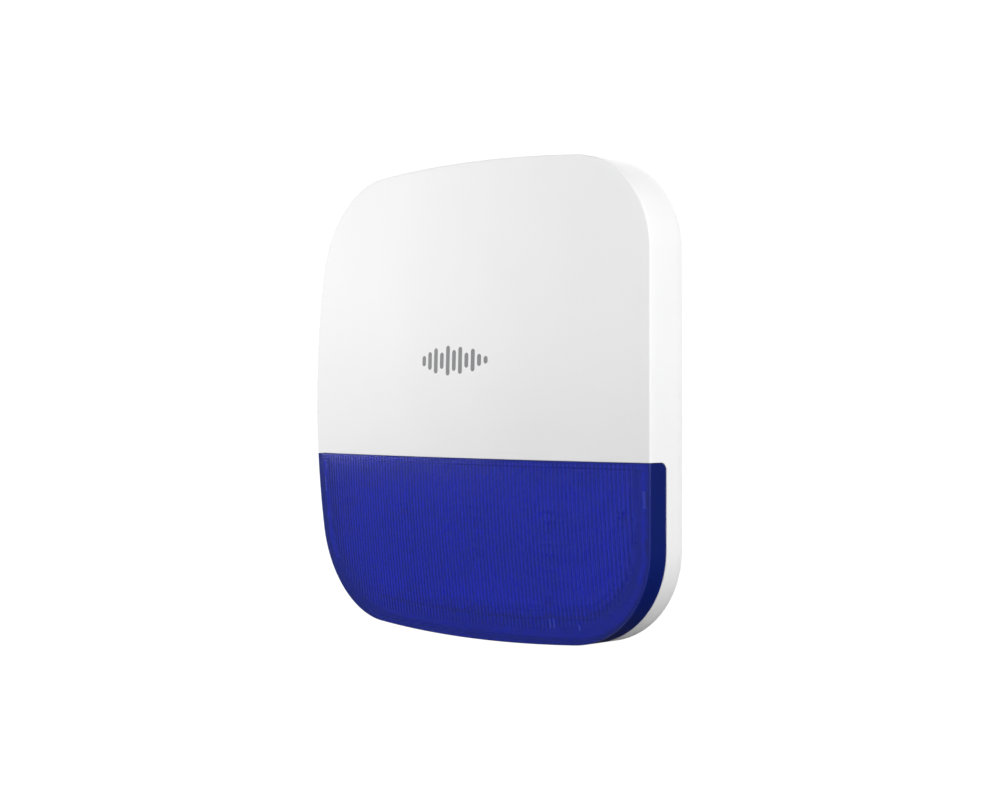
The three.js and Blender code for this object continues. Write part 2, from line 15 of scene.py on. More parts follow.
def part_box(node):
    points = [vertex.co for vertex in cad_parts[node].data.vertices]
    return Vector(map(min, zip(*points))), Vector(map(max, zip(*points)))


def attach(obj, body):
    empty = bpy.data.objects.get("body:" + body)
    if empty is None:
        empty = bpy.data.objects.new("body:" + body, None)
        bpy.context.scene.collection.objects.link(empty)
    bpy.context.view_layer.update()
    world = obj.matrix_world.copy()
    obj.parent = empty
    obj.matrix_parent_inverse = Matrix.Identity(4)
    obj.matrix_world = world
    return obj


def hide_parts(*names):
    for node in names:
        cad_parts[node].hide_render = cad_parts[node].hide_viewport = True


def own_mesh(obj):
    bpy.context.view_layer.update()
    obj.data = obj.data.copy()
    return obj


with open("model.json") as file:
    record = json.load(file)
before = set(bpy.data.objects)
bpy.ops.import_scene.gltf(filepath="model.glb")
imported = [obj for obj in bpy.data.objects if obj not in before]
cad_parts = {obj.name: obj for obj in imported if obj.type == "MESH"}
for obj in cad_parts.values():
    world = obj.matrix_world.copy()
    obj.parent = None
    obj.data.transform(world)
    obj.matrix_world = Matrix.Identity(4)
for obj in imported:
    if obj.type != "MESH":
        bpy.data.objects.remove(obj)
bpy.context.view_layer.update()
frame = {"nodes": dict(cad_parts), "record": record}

MM = 0.001


def span(node):
    """Lowest and highest corner of a CAD node, in millimetres."""
    low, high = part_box(node)
    return [v / MM for v in low], [v / MM for v in high]


# ---- Driving sizes, from the frame ----

COVER_LOW, COVER_HIGH = span("front_cover")
LENS_HIGH = span("strobe_lens")[1]
HALF = COVER_HIGH[0]  # half width of the siren
CROWN_Y = COVER_LOW[1]  # crown of the front face
SPLIT_Z = LENS_HIGH[2] + 0.15  # middle of the joint over the lens
SIDE_RADIUS = 978.0  # slow bow of each side
CORNER_RADIUS = 51.5
DOME_RADIUS = 719.0
RIM_DEPTH = 23.56  # side wall, front rim to rear rim
LENS_DEPTH = 11.81  # how far the lens wraps round the side
SHELL_WALL = 3.0
LENS_WALL = 2.5
SEAM = 0.15  # half the gap round the lens
RIB_PITCH = 2.4  # the upright ribs inside the lens
RIB_SHADE_SHIFT = 1.54  # how far a rib's painted light and shade on the face sits beside the rib, set over by the wall's refraction

# ---- Camera, light and floor ----

CAMERA_HEADING = math.radians(45.04)
CAMERA_FROM_CROWN = (0.6572, -0.6234, 0.0)
FLOOR_DROP = 0.6


def placed(name, data):
    """A new object in the scene."""
    obj = bpy.data.objects.new(name, data)
    bpy.context.scene.collection.objects.link(obj)
    return obj


def make_camera():
    data = bpy.data.cameras.new("camera")
    data.lens = 65.15
    data.sensor_width = 36.0
    data.clip_start = 0.01
    camera = placed("camera", data)
    camera.location = Vector(CAMERA_FROM_CROWN) + Vector((0, CROWN_Y * MM, 0))
    forward = Vector((-math.sin(CAMERA_HEADING), math.cos(CAMERA_HEADING), 0))
    camera.rotation_euler = forward.to_track_quat("-Z", "Y").to_euler()
    bpy.context.scene.camera = camera


def make_area_light(name, place, target, size, power):
    data = bpy.data.lights.new(name, "AREA")
    data.shape = "SQUARE"
    data.size = size
    data.energy = power
    light = placed(name, data)
    light.location = place
    light.rotation_euler = (Vector(target) - Vector(place)).to_track_quat("-Z", "Y").to_euler()


def map_range(owner, value, from_low, from_high, to_low, to_high):
    """A Map Range node's result, in a material or a world."""
    node = owner.node_tree.nodes.new("ShaderNodeMapRange")
    limits = {"From Min": from_low, "From Max": from_high, "To Min": to_low, "To Max": to_high}
    for socket, limit in limits.items():
        node.inputs[socket].default_value = limit
    owner.node_tree.links.new(value, node.inputs["Value"])
    return node.outputs["Result"]


def make_world():
    """A white studio: white behind the object, softer as a light and dim from below."""
    world = bpy.data.worlds.new("studio")
    bpy.context.scene.world = world
    world.use_nodes = True
    nodes, links = world.node_tree.nodes, world.node_tree.links
    nodes.clear()
    seen, lit = nodes.new("ShaderNodeBackground"), nodes.new("ShaderNodeBackground")
    for background in (seen, lit):
        background.inputs["Color"].default_value = (1, 1, 1, 1)
    seen.inputs["Strength"].default_value = 1.05
    heading = nodes.new("ShaderNodeSeparateXYZ")
    links.new(nodes.new("ShaderNodeTexCoord").outputs["Generated"], heading.inputs["Vector"])
    links.new(map_range(world, heading.outputs["Z"], -0.4, 0.3, 0.02, 0.16), lit.inputs["Strength"])
    mix = nodes.new("ShaderNodeMixShader")
    rays = nodes.new("ShaderNodeLightPath")
    out = nodes.new("ShaderNodeOutputWorld")
    links.new(rays.outputs["Is Camera Ray"], mix.inputs["Fac"])
    links.new(lit.outputs["Background"], mix.inputs[1])
    links.new(seen.outputs["Background"], mix.inputs[2])
    links.new(mix.outputs["Shader"], out.inputs["Surface"])


def make_floor():
    """A round pale floor under the siren."""
    mesh = bpy.data.meshes.new("floor")
    floor = placed("floor", mesh)
    radius, sides = 0.3, 96
    ring = [(radius * math.cos(a), radius * math.sin(a), -FLOOR_DROP)
            for a in (2 * math.pi * i / sides for i in range(sides))]
    mesh.from_pydata(ring, [], [tuple(range(sides))])
    material = bpy.data.materials.new("floor")
    material.use_nodes = True
    shader = material.node_tree.nodes["Principled BSDF"]
    shader.inputs["Base Color"].default_value = (0.6, 0.6, 0.6, 1)
    shader.inputs["Roughness"].default_value = 0.9
    mesh.materials.append(material)


bpy.context.scene.view_settings.view_transform = "Standard"
make_camera()
make_world()
make_floor()
make_area_light("key", place=(-1.15, -0.85, 0.28), target=(-0.03, 0, 0), size=0.8, power=17)
make_area_light("fill", place=(0.8, -1.05, 0.55), target=(0, 0, 0), size=0.8, power=5.6)
make_area_light("side", place=(1.5, -0.2, 0.3), target=(0.1, 0, 0), size=1.0, power=19)
make_area_light("back", place=(-0.5, 1.4, 0.5), target=(0, 0, 0), size=1.0, power=21)

# ---- Mesh tools ----


def mesh_object(points, faces):
    """A closed mesh in millimetres, its faces turned outwards."""
    mesh = bpy.data.meshes.new("mesh")
    mesh.from_pydata([tuple(point) for point in points], [], faces)
    shape = bmesh.new()
    shape.from_mesh(mesh)
    bmesh.ops.remove_doubles(shape, verts=shape.verts, dist=1e-5)
    bmesh.ops.recalc_face_normals(shape, faces=shape.faces)
    shape.to_mesh(mesh)
    shape.free()
    return placed("mesh", mesh)


def loft(rings, ends="caps"):
    """Skins rings of equally many points. The ends are flat caps, or the last ring meets the first."""
    count = len(rings[0])
    points = [point for ring in rings for point in ring]
    faces = []
    last = len(rings) if ends == "loop" else len(rings) - 1
    for i in range(last):
        a, b = i * count, (i + 1) % len(rings) * count
        for j in range(count):
            k = (j + 1) % count
            faces.append((a + j, a + k, b + k, b + j))
    if ends == "caps":
        faces.append(tuple(range(count)))
        faces.append(tuple(range((len(rings) - 1) * count, len(rings) * count)))
    return mesh_object(points, faces)


def bake(obj):
    """Applies the modifiers."""
    graph = bpy.context.evaluated_depsgraph_get()
    mesh = bpy.data.meshes.new_from_object(obj.evaluated_get(graph))
    obj.modifiers.clear()
    obj.data = mesh
    return obj


def combine(obj, operation, tools):
    for tool in tools:
        modifier = obj.modifiers.new("combine", "BOOLEAN")
        modifier.operation = operation
        modifier.solver = "MANIFOLD"
        modifier.object = tool
    bake(obj)
    for tool in tools:
        bpy.data.objects.remove(tool)
    return obj


def cut(obj, *tools):
    return combine(obj, "DIFFERENCE", tools)


def join(obj, *tools):
    return combine(obj, "UNION", tools)


def keep_inside(obj, *tools):
    return combine(obj, "INTERSECT", tools)


SHARP_EDGE = 32  # degrees between faces that keeps an edge crisp


def finish_piece(obj, name, slot, *nodes, body="case", material=None):
    """Millimetres to metres, smooth shading, a material, and its place in the frame."""
    obj.name = obj.data.name = name
    obj.data.transform(Matrix.Scale(MM, 4))
    obj.data.shade_smooth()
    obj.data.set_sharp_from_angle(angle=math.radians(SHARP_EDGE))
    obj.data.materials.clear()
    obj.data.materials.append(MATERIALS[material or slot])
    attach(obj, body)
    if nodes:
        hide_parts(*nodes)
    return obj


# ---- Outlines and domed space ----

SIDE_STEPS = 36
CORNER_STEPS = 32


def arc(cx, cz, radius, start, end, steps):
    """Points along an arc, without its last one."""
    angles = [start + (end - start) * i / steps for i in range(steps)]
    return [(cx + radius * math.cos(a), cz + radius * math.sin(a)) for a in angles]


def outline(inset=0.0):
    """The siren's outline as (x, z), moved inwards by inset."""
    side = HALF - SIDE_RADIUS
    reach = SIDE_RADIUS - CORNER_RADIUS
    knee = (side + math.sqrt(2 * reach ** 2 - side ** 2)) / 2
    lean = math.atan2(knee, knee - side)
    points = []
    for quarter in range(4):
        turn = quarter * math.pi / 2
        c, s = math.cos(turn), math.sin(turn)
        points += arc(side * c, side * s, SIDE_RADIUS - inset, turn - lean, turn + lean, SIDE_STEPS)
        cx, cz = knee * (c - s), knee * (s + c)
        start, end = turn + lean, turn + math.pi / 2 - lean
        points += arc(cx, cz, CORNER_RADIUS - inset, start, end, CORNER_STEPS)
    return points


def dome(x, z):
    """Y of the crowned front face."""
    return CROWN_Y + (x * x + z * z) / (2 * DOME_RADIUS)


def level(inset, depth, scale=1.0):
    """The outline as a ring at a depth behind the crowned face."""
    ring = [(x * scale, z * scale) for x, z in outline(inset)]
    return [(x, dome(x, z) + depth, z) for x, z in ring]


def quarter_turn(steps=4):
    """Pairs (1 - sin a, 1 - cos a) for rounding an edge."""
    angles = [math.pi / 2 * i / steps for i in range(steps + 1)]
    return [(1 - math.sin(a), 1 - math.cos(a)) for a in angles]


FACE_SCALES = [0.02 + 0.04 * i for i in range(25)]


def domed_dish(wall, depth, edge):
    """A crowned dish: face, rounded rim, side wall with a rounded rear edge, open behind."""
    rings = [level(edge, 0, scale) for scale in FACE_SCALES]
    rings += [level(edge * a, edge * b) for a, b in quarter_turn()]
    rings += [level(0, edge + (depth - 2 * edge) * i / 6) for i in range(1, 6)]
    rings += [level(edge * b, depth - edge * a) for a, b in quarter_turn()]
    inner = 0.6
    rings += [level(wall, depth), level(wall, wall + inner)]
    rings += [level(wall + inner * b, wall + inner * a) for a, b in quarter_turn(3)][1:]
    rings += [level(wall + inner, wall, scale) for scale in reversed(FACE_SCALES)]
    return loft(rings)


def lens_room(grow, edge_radius=4.0):
    """The space that the lens takes: below the split, in front of the lens's rear edge, with the
    side's upper rear corner rounded."""
    top = SPLIT_Z + grow
    depth = LENS_DEPTH + SEAM + grow
    columns = [-130 + 5 * i for i in range(53)]
    drops = [edge_radius * b for _, b in quarter_turn(8)] + [8, 14, 22, 30, 40, 50, 60, 70, 80, 90, 100]
    front, back = [], []
    for drop in drops:
        short = 0.0
        if drop < edge_radius:
            short = edge_radius - math.sqrt(edge_radius ** 2 - (edge_radius - drop) ** 2)
        z = top - drop
        front.append([(x, dome(x, z) - 8, z) for x in columns])
        back.append([(x, dome(x, z) + depth - short, z) for x in columns])
    rings = [[*row, *reversed(other)] for row, other in zip(front, back)]
    return loft(rings)


def shrink(points, amount):
    """A closed anticlockwise outline moved inwards."""
    moved = []
    for a, p, b in zip(points[-1:] + points[:-1], points, points[1:] + points[:1]):
        before, after = Vector(p) - Vector(a), Vector(b) - Vector(p)
        m = Vector((-before.y, before.x)).normalized()
        n = Vector((-after.y, after.x)).normalized()
        shift = (m + n) * amount / (1 + m.dot(n))
        moved.append((p[0] + shift.x, p[1] + shift.y))
    return moved


def circle(x, z, radius, sides=48):
    return arc(x, z, radius, 0, 2 * math.pi, sides)


def rectangle(x, z, radius, steps=5):
    """A rounded rectangle between two pairs of limits."""
    points = []
    for index, (cx, cz) in enumerate([(x[1], z[1]), (x[0], z[1]), (x[0], z[0]), (x[1], z[0])]):
        cx += radius if cx == x[0] else -radius
        cz += radius if cz == z[0] else -radius
        points += arc(cx, cz, radius, index * math.pi / 2, (index + 1) * math.pi / 2, steps)
        points.append((cx + radius * math.cos((index + 1) * math.pi / 2),
                       cz + radius * math.sin((index + 1) * math.pi / 2)))
    return points


def softened(points, radius, steps=3):
    """An open line of points with its corners rounded."""
    line = [points[0]]
    for a, p, b in zip(points, points[1:], points[2:]):
        a, p, b = Vector(a), Vector(p), Vector(b)
        start = p + (a - p).normalized() * min(radius, (a - p).length * 0.48)
        end = p + (b - p).normalized() * min(radius, (b - p).length * 0.48)
        for i in range(steps + 1):
            t = i / steps
            line.append(tuple(start * (1 - t) ** 2 + p * 2 * t * (1 - t) + end * t * t))
    return [*line, points[-1]]


def on_axis(axis, u, v, along):
    """A point from its place across an axis and along it."""
    return {"X": (along, u, v), "Y": (u, along, v), "Z": (u, v, along)}[axis]


def prism(points, low, high, edge=0.3, axis="Y"):
    """An outline carried from low to high, with rounded rims."""
    levels = [(edge * i, low + edge * d) for i, d in quarter_turn(3)]
    levels += [(edge * i, high - edge * d) for i, d in reversed(quarter_turn(3))]
    rings = [[on_axis(axis, u, v, along) for u, v in shrink(points, inset)] for inset, along in levels]
    return loft(rings)


def lathe(profile, centre, axis="Y", sides=48, ends="caps"):
    """Turns (radius, along) pairs about a line through centre."""
    rings = []
    for radius, along in profile:
        rings.append([on_axis(axis, u, v, along) for u, v in circle(*centre, radius, sides)])
    return loft(rings, ends)


def peg(centre, radius, low, high, edge=0.3, axis="Y", sides=32):
    """A round peg with eased ends."""
    inner = radius - edge * 2
    line = [(inner, low), (radius, low), (radius, high), (inner, high)]
    return lathe(softened(line, edge), centre, axis, sides)


def hole(centre, radius, low, high, axis="Y", sides=32):
    """A plain round cutter."""
    return lathe([(radius, low), (radius, high)], centre, axis, sides)


def about(middle, reach):
    """A pair of limits on both sides of a middle."""
    return middle - reach, middle + reach


def block(x, y, z, edge=0.0):
    """A box between three pairs of limits, its edges rounded if asked."""
    shape = bmesh.new()
    bmesh.ops.create_cube(shape, size=1.0)
    for vert in shape.verts:
        vert.co = [low + (high - low) * (at + 0.5) for at, (low, high) in zip(vert.co, (x, y, z))]
    if edge:
        bmesh.ops.bevel(shape, geom=shape.edges[:], offset=edge, segments=3, profile=0.5, affect="EDGES")
    mesh = bpy.data.meshes.new("block")
    shape.to_mesh(mesh)
    shape.free()
    return placed("block", mesh)


def direction(path, index):
    """The way that a path of vectors runs at one of its points."""
    return (path[min(index + 1, len(path) - 1)] - path[max(index - 1, 0)]).normalized()


def wire(path, radius, sides=10):
    """A round wire along a list of points."""
    path = [Vector(point) for point in path]
    rings = []
    side = Vector((0.31, 0.11, 0.94))
    for index, point in enumerate(path):
        ahead = direction(path, index)
        side = (side - ahead * side.dot(ahead)).normalized()
        other = ahead.cross(side)
        rings.append([point + side * a + other * b for a, b in circle(0, 0, radius, sides)])
    return loft(rings)


def helix(centre, radius, low, high, turns, axis="Y", steps=20):
    """Points of a coil spring about a line through centre, closed flat at both ends."""
    points = []
    for i in range(turns * steps + 1):
        t = i / (turns * steps)
        rise = min(max((t * turns - 0.75) / (turns - 1.5), 0), 1)
        turn = 2 * math.pi * turns * t
        u, v = centre[0] + radius * math.cos(turn), centre[1] + radius * math.sin(turn)
        points.append(on_axis(axis, u, v, low + (high - low) * rise))
    return points


def dropped(obj, *tools):
    """Several closed meshes as one object, left as they are."""
    shape = bmesh.new()
    for part in (obj, *tools):
        shape.from_mesh(part.data)
    shape.to_mesh(obj.data)
    shape.free()
    for tool in tools:
        bpy.data.objects.remove(tool)
    return obj


# ---- Materials ----


def shader_material(name, colour, roughness, **sockets):
    material = bpy.data.materials.new(name)
    material.use_nodes = True
    shader = material.node_tree.nodes["Principled BSDF"]
    shader.inputs["Base Color"].default_value = (*colour, 1)
    shader.inputs["Roughness"].default_value = roughness
    for socket, value in sockets.items():
        shader.inputs[socket.replace("_", " ")].default_value = value
    return material, shader


def add_node(material, kind, **values):
    node = material.node_tree.nodes.new(kind)
    for name, value in values.items():
        node.inputs[name.replace("_", " ")].default_value = value
    return node


def object_point(material):
    return material.node_tree.nodes.new("ShaderNodeTexCoord").outputs["Object"]


def noise(material, **sockets):
    """A Noise Texture's value over the object."""
    node = add_node(material, "ShaderNodeTexNoise", **sockets)
    material.node_tree.links.new(object_point(material), node.inputs["Vector"])
    return node.outputs["Fac"]


def colour_ramp(material, value, *stops):
    """A colour between two stops of position and colour."""
    ramp = material.node_tree.nodes.new("ShaderNodeValToRGB")
    for element, (position, colour) in zip(ramp.color_ramp.elements, stops):
        element.position = position
        element.color = (*colour, 1)
    material.node_tree.links.new(value, ramp.inputs["Fac"])
    return ramp.outputs["Color"]


def mottle(material, shader, colour, amount, scale):
    """Slight colour variation over the surface."""
    darker = [c * (1 - amount) for c in colour]
    lighter = [min(1, c * (1 + amount)) for c in colour]
    pattern = noise(material, Scale=scale, Detail=3.0)
    mixed = colour_ramp(material, pattern, (0.3, darker), (0.7, lighter))
    material.node_tree.links.new(mixed, shader.inputs["Base Color"])


def grain(material, shader, scale, height, spread=0.06):
    """A fine moulded or cast grain, in the surface and in its gloss."""
    links = material.node_tree.links
    pattern = noise(material, Scale=scale, Detail=4.0, Roughness=0.6)
    bump = add_node(material, "ShaderNodeBump", Strength=1.0, Distance=height)
    links.new(pattern, bump.inputs["Height"])
    links.new(bump.outputs["Normal"], shader.inputs["Normal"])
    rough = shader.inputs["Roughness"].default_value
    gloss = map_range(material, pattern, 0, 1, rough - spread, rough + spread)
    links.new(gloss, shader.inputs["Roughness"])


def moulded(name, colour, roughness=0.45, grain_scale=1800, grain_height=2e-5, amount=0.015):
    material, shader = shader_material(name, colour, roughness)
    mottle(material, shader, colour, amount, 14)
    grain(material, shader, grain_scale, grain_height)
    return material


def metal(name, colour, roughness):
    material, shader = shader_material(name, colour, roughness, Metallic=1.0)
    mottle(material, shader, colour, 0.06, 120)
    grain(material, shader, 2500, 1e-5, 0.08)
    return material


def maths(material, operation, *values):
    """A Math node's result for sockets or numbers."""
    node = material.node_tree.nodes.new("ShaderNodeMath")
    node.operation = operation
    for socket, value in zip(node.inputs, values):
        if isinstance(value, (int, float)):
            socket.default_value = value
        else:
            material.node_tree.links.new(value, socket)
    return node.outputs["Value"]


EDGE_ON, FACE_ON = 0.25, 0.85  # how far a normal faces forward, on the lens's side and face
SQUARENESS = 4.4  # power of the superellipse that is close to the outline
# strength and margin of the painted light and shade of the ribs
RIB_PAINTED_SHADE = 0.25
RIB_PAINTED_SHADE_MARGIN = 8.5


def lens_plastic(name):
    """Clear blue polycarbonate with a slight haze. It is less clear and rougher where the wall is seen edge
    on, round the side, and its blue is painted darker there: painted shade on the side.
    Across the face the blue is painted in stripes a little lighter and darker with the rib pitch: painted
    light and shade of the ribs."""
    face, side = (0.09, 0.13, 0.88), (0.004, 0.016, 0.18)
    material, shader = shader_material(name, face, 0.12, IOR=1.35)
    nodes, links = material.node_tree.nodes, material.node_tree.links
    calc = partial(maths, material)
    normal, place = nodes.new("ShaderNodeSeparateXYZ"), nodes.new("ShaderNodeSeparateXYZ")
    links.new(nodes.new("ShaderNodeTexCoord").outputs["Normal"], normal.inputs["Vector"])
    links.new(object_point(material), place.inputs["Vector"])
    facing = calc("ABSOLUTE", normal.outputs["Y"])
    # painted shade: the blue darkens from the face colour to a near-black navy where the normal turns
    # sideways, round the lens's side
    tint_with_painted_side_shade = colour_ramp(material, facing, (EDGE_ON, side), (FACE_ON, face))
    # painted light and shade of the ribs: the blue is scaled up and down in stripes with the rib pitch, on
    # the front-facing face inside the margin
    across = calc("SUBTRACT", place.outputs["X"], RIB_SHADE_SHIFT * MM)
    painted_rib_shade = calc("COSINE", calc("MULTIPLY", across, 2 * math.pi / (RIB_PITCH * MM)))
    reach = [calc("POWER", calc("ABSOLUTE", place.outputs[axis]), SQUARENESS) for axis in "XZ"]
    limit = ((HALF - RIB_PAINTED_SHADE_MARGIN) * MM) ** SQUARENESS
    rib_shade_area = calc("LESS_THAN", calc("ADD", *reach), limit)
    front = calc("LESS_THAN", normal.outputs["Y"], -0.8)
    rise = calc("MULTIPLY", calc("MULTIPLY", front, rib_shade_area), RIB_PAINTED_SHADE)
    rib_shade_scale = nodes.new("ShaderNodeVectorMath")
    rib_shade_scale.operation = "SCALE"
    links.new(tint_with_painted_side_shade, rib_shade_scale.inputs[0])
    links.new(calc("ADD", 0.92, calc("MULTIPLY", painted_rib_shade, rise)), rib_shade_scale.inputs["Scale"])
    links.new(rib_shade_scale.outputs["Vector"], shader.inputs["Base Color"])
    for socket, edge_on, face_on in (("Transmission Weight", 0.25, 0.75), ("Roughness", 0.34, 0.12)):
        links.new(map_range(material, facing, EDGE_ON, FACE_ON, edge_on, face_on), shader.inputs[socket])
    return material


MOULDED = {  # colour, roughness, then the grain and the mottling
    "cover_plastic": ((0.9, 0.9, 0.9), 0.55),
    # pale, so that the pins and the bead inside the lens show as bright glints through it: painted highlight
    "lens_glint": ((0.8, 0.85, 1.0), 0.2),
    "case_plastic": ((0.78, 0.78, 0.77), 0.5),
    "reflector_plastic": ((0.86, 0.86, 0.88), 0.18, 900, 1e-5),
    "seal_rubber": ((0.02, 0.02, 0.022), 0.75, 3000, 3e-5, 0.2),
    "board_laminate": ((0.02, 0.13, 0.05), 0.35, 1500, 8e-6, 0.15),
    "led_laminate": ((0.8, 0.81, 0.8), 0.4),
    "led_resin": ((0.88, 0.87, 0.82), 0.15),
    "black_plastic": ((0.02, 0.02, 0.022), 0.5, 2200, 2e-5, 0.2),
    "white_key": ((0.82, 0.82, 0.8), 0.4),
    "red_key": ((0.4, 0.02, 0.02), 0.4),
    "cell_sleeve": ((0.05, 0.16, 0.38), 0.22, 900, 1e-5, 0.08),
    "lead_sheath": ((0.3, 0.02, 0.02), 0.45),
    "print_ink": ((0.2, 0.2, 0.21), 0.55),
}
MATERIALS = {name: moulded(name, *look) for name, look in MOULDED.items()}
MATERIALS["lens_plastic"] = lens_plastic("lens_plastic")
MATERIALS["screw_steel"] = metal("screw_steel", (0.6, 0.6, 0.62), 0.3)
MATERIALS["shield_steel"] = metal("shield_steel", (0.66, 0.67, 0.68), 0.35)

for row in frame["record"]["subparts"]:
    node = frame["nodes"][row["node"]]
    node.data.materials.clear()
    node.data.materials.append(MATERIALS[row["material_slot"]])

# ---- Front cover ----

EDGE = 0.7
WIDE = (-130, 130)  # past the siren on every side
DEEP = (-100, 0)
HOOK = (-28.6, 113.4)  # y and z of the bars that the cover swings on
HOOK_X = (-45, 45)
LOCK = (0, -31.2)  # x and y of the lock screw
COVER_SWITCH = (-30, -19)  # x and z
LIP_DROP = 3.0  # how far the cover reaches down behind the lens


def domed_slab(inset, front, back, rim=0.4):
    """The solid between two copies of the crowned face, its rim eased."""
    rings = [level(inset + rim, front, scale) for scale in (*FACE_SCALES, 1.0)]
    rings += [level(inset, front + rim), level(inset, back - rim)]
    rings += [level(inset + rim, back, scale) for scale in reversed((*FACE_SCALES, 1.0))]
    return loft(rings)


def domed_ring(outer, inner, front, back, rim=0.3):
    """The solid between two outlines and two copies of the crowned face, its edges eased."""
    corners = [(outer + rim, front), (inner - rim, front), (inner, front + rim), (inner, back - rim),
               (inner - rim, back), (outer + rim, back), (outer, back - rim), (outer, front + rim)]
    return loft([level(inset, depth) for inset, depth in corners], "loop")


def cover_ribs():
    """A low grid of ribs that stiffens the back of the face."""
    grid = [block(about(x, 0.6), DEEP, (-24, 100)) for x in (-66, -22, 22, 66)]
    rows = [block((-100, 100), DEEP, about(z, 0.6)) for z in (0, 34, 68)]
    return keep_inside(domed_slab(6, SHELL_WALL - 0.3, SHELL_WALL + 1.6), join(grid[0], *grid[1:], *rows))


def make_front_cover():
    cover = domed_dish(SHELL_WALL, RIM_DEPTH, EDGE)
    cut(cover, lens_room(0.0))
    ledge = domed_ring(SHELL_WALL - 1, 11.5, LENS_DEPTH + 2 * SEAM, 14.5)
    lip = keep_inside(domed_slab(LENS_WALL + 0.3, LENS_WALL + 1.3, 5.5),
                      block(WIDE, DEEP, (SPLIT_Z - LIP_DROP, SPLIT_Z)))
    join(lip, keep_inside(domed_slab(LENS_WALL + 0.3, LENS_WALL + 0.3, 5.5),
                          block(WIDE, DEEP, (SPLIT_Z - 0.2, SPLIT_Z + 4))))
    bars = [peg(HOOK, 1.4, x - 7, x + 7, 0.4, "X") for x in HOOK_X]
    webs = [block(about(x, 7), about(HOOK[0], 0.9), (HOOK[1], HALF - 2)) for x in HOOK_X]
    gussets = [block((x + s * 5 - 0.6, x + s * 5 + 0.6), (HOOK[0] - 3, HOOK[0]), (HOOK[1] + 2.6, HALF - 2))
               for x in HOOK_X for s in (-1, 1)]
    post = peg(COVER_SWITCH, 3, -59, -33.3, 0.5)
    x, z = COVER_SWITCH
    fins = [block(about(x, a), (-59, -46), about(z, b)) for a, b in ((8.5, 0.5), (0.5, 8.5))]
    boss = block((-8, 8), (-38, -28.9), (-118, -113.2), 0.6)
    join(cover, ledge, lip, *bars, *webs, *gussets, post, *fins, boss, cover_ribs())
    for radius, top in ((3.3, -116.5), (2.0, -112.0)):
        cut(cover, hole(LOCK, radius, -130, top, "Z"), block((-radius, radius), (LOCK[1], 0), (-130, top)))
    finish_piece(cover, "cover_shell", "cover_plastic", "front_cover", body="cover")


RIB_DEPTH = 0.5
RIB_TOP = SPLIT_Z - 1.3
RIB_MARGIN = 7.5


def lens_ribs():
    """Upright half-round ribs on the inside of the lens, ending in steps along its edge."""
    limit = outline(RIB_MARGIN)
    count = int(2 * (HALF - RIB_MARGIN) / RIB_PITCH)
    width = RIB_PITCH * 0.94
    half = [(0.5, -0.4), (0.5, 0), (0.36, RIB_DEPTH * 0.55), (0.18, RIB_DEPTH * 0.88)]
    section = [(-u * width, v) for u, v in half] + [(0, RIB_DEPTH)]
    section += [(u * width, v) for u, v in reversed(half)]
    ribs = []
    for index in range(count):
        x = (index - (count - 1) / 2) * RIB_PITCH
        bottom = max([z for px, z in limit if abs(px - x) < RIB_PITCH and z < 0], default=0)
        if bottom > RIB_TOP - 2:
            continue
        steps = max(2, int((RIB_TOP - bottom) / 6))
        heights = [bottom + (RIB_TOP - bottom) * step / steps for step in range(steps + 1)]
        rings = [[(x + u, dome(x + u, z) + LENS_WALL + v, z) for u, v in section] for z in heights]
        ribs.append(loft(rings))
    return dropped(*ribs)


def make_strobe_lens():
    lens = domed_dish(LENS_WALL, LENS_DEPTH, 0.6)
    keep_inside(lens, lens_room(-2 * SEAM))
    clips = []
    for x in (-115, 115):
        for z in (-46, -68):
            face = dome(117, z)
            clips.append(block(about(x, 1.3), (face + 1.5, face + 8), about(z, 4), 0.3))
    join(lens, lens_ribs(), *clips)
    finish_piece(lens, "lens_shell", "lens_plastic", "strobe_lens", body="cover")
    # pins in a pale colour, so that they show as bright marks through the lens: partly real pins, partly
    # painted highlight
    pins = [block(about(x, 0.4), (dome(x, -108) + LENS_WALL, dome(x, -108) + 6), (-110, -105.5), 0.2)
            for x in (55, 57.5, 73)]
    finish_piece(dropped(*pins), "lens_pins", "lens_plastic", body="cover", material="lens_glint")
    # a pale ring inside the lens's edge that stands for the light caught along its inner wall: painted
    # highlight
    bead = domed_ring(4.2, 6.2, LENS_WALL + 0.05, LENS_WALL + 2.0)
    keep_inside(bead, block(WIDE, DEEP, (-86, SPLIT_Z - 4)))
    finish_piece(bead, "lens_glint_bead", "lens_plastic", body="cover", material="lens_glint")


PRINT_CENTRE_Z = 19.8
PRINT_WIDTH = 49.0
PRINT_HEIGHT = 15.0
INK = 0.02
END_ANGLES = [math.radians(-88 + 11 * i) for i in range(9)]  # round end of a bar


def make_print():
    """A row of rounded bars, like a sound level, printed on the cover."""
    heights = (0.35, 0.6, 0.85, 0.55, 1.0, 0.7, 0.9, 0.5, 0.75, 0.4, 0.25)
    pitch = PRINT_WIDTH / len(heights)
    half = pitch * 0.3
    for index, share in enumerate(heights):
        x = (index - (len(heights) - 1) / 2) * pitch
        straight = PRINT_HEIGHT * share / 2 - half
        lower = [(half * math.cos(a), -straight + half * math.sin(a)) for a in END_ANGLES]
        middle = [(half, straight * t / 6) for t in range(-5, 6)]
        upper = [(w, -dz) for w, dz in reversed(lower)]
        rings = []
        for width, rise in [*lower, *middle, *upper]:
            z = PRINT_CENTRE_Z + rise
            section = [(x - width, -INK), (x + width, -INK), (x + width, 0.3), (x - width, 0.3)]
            rings.append([(px, dome(px, z) + lift, z) for px, lift in section])
        bar = loft(rings)
        finish_piece(bar, "print_bar_%d" % (index + 1), "cover_plastic", body="cover", material="print_ink")


make_front_cover()
make_strobe_lens()
make_print()


# ---- Rear case, seal and bracket ----

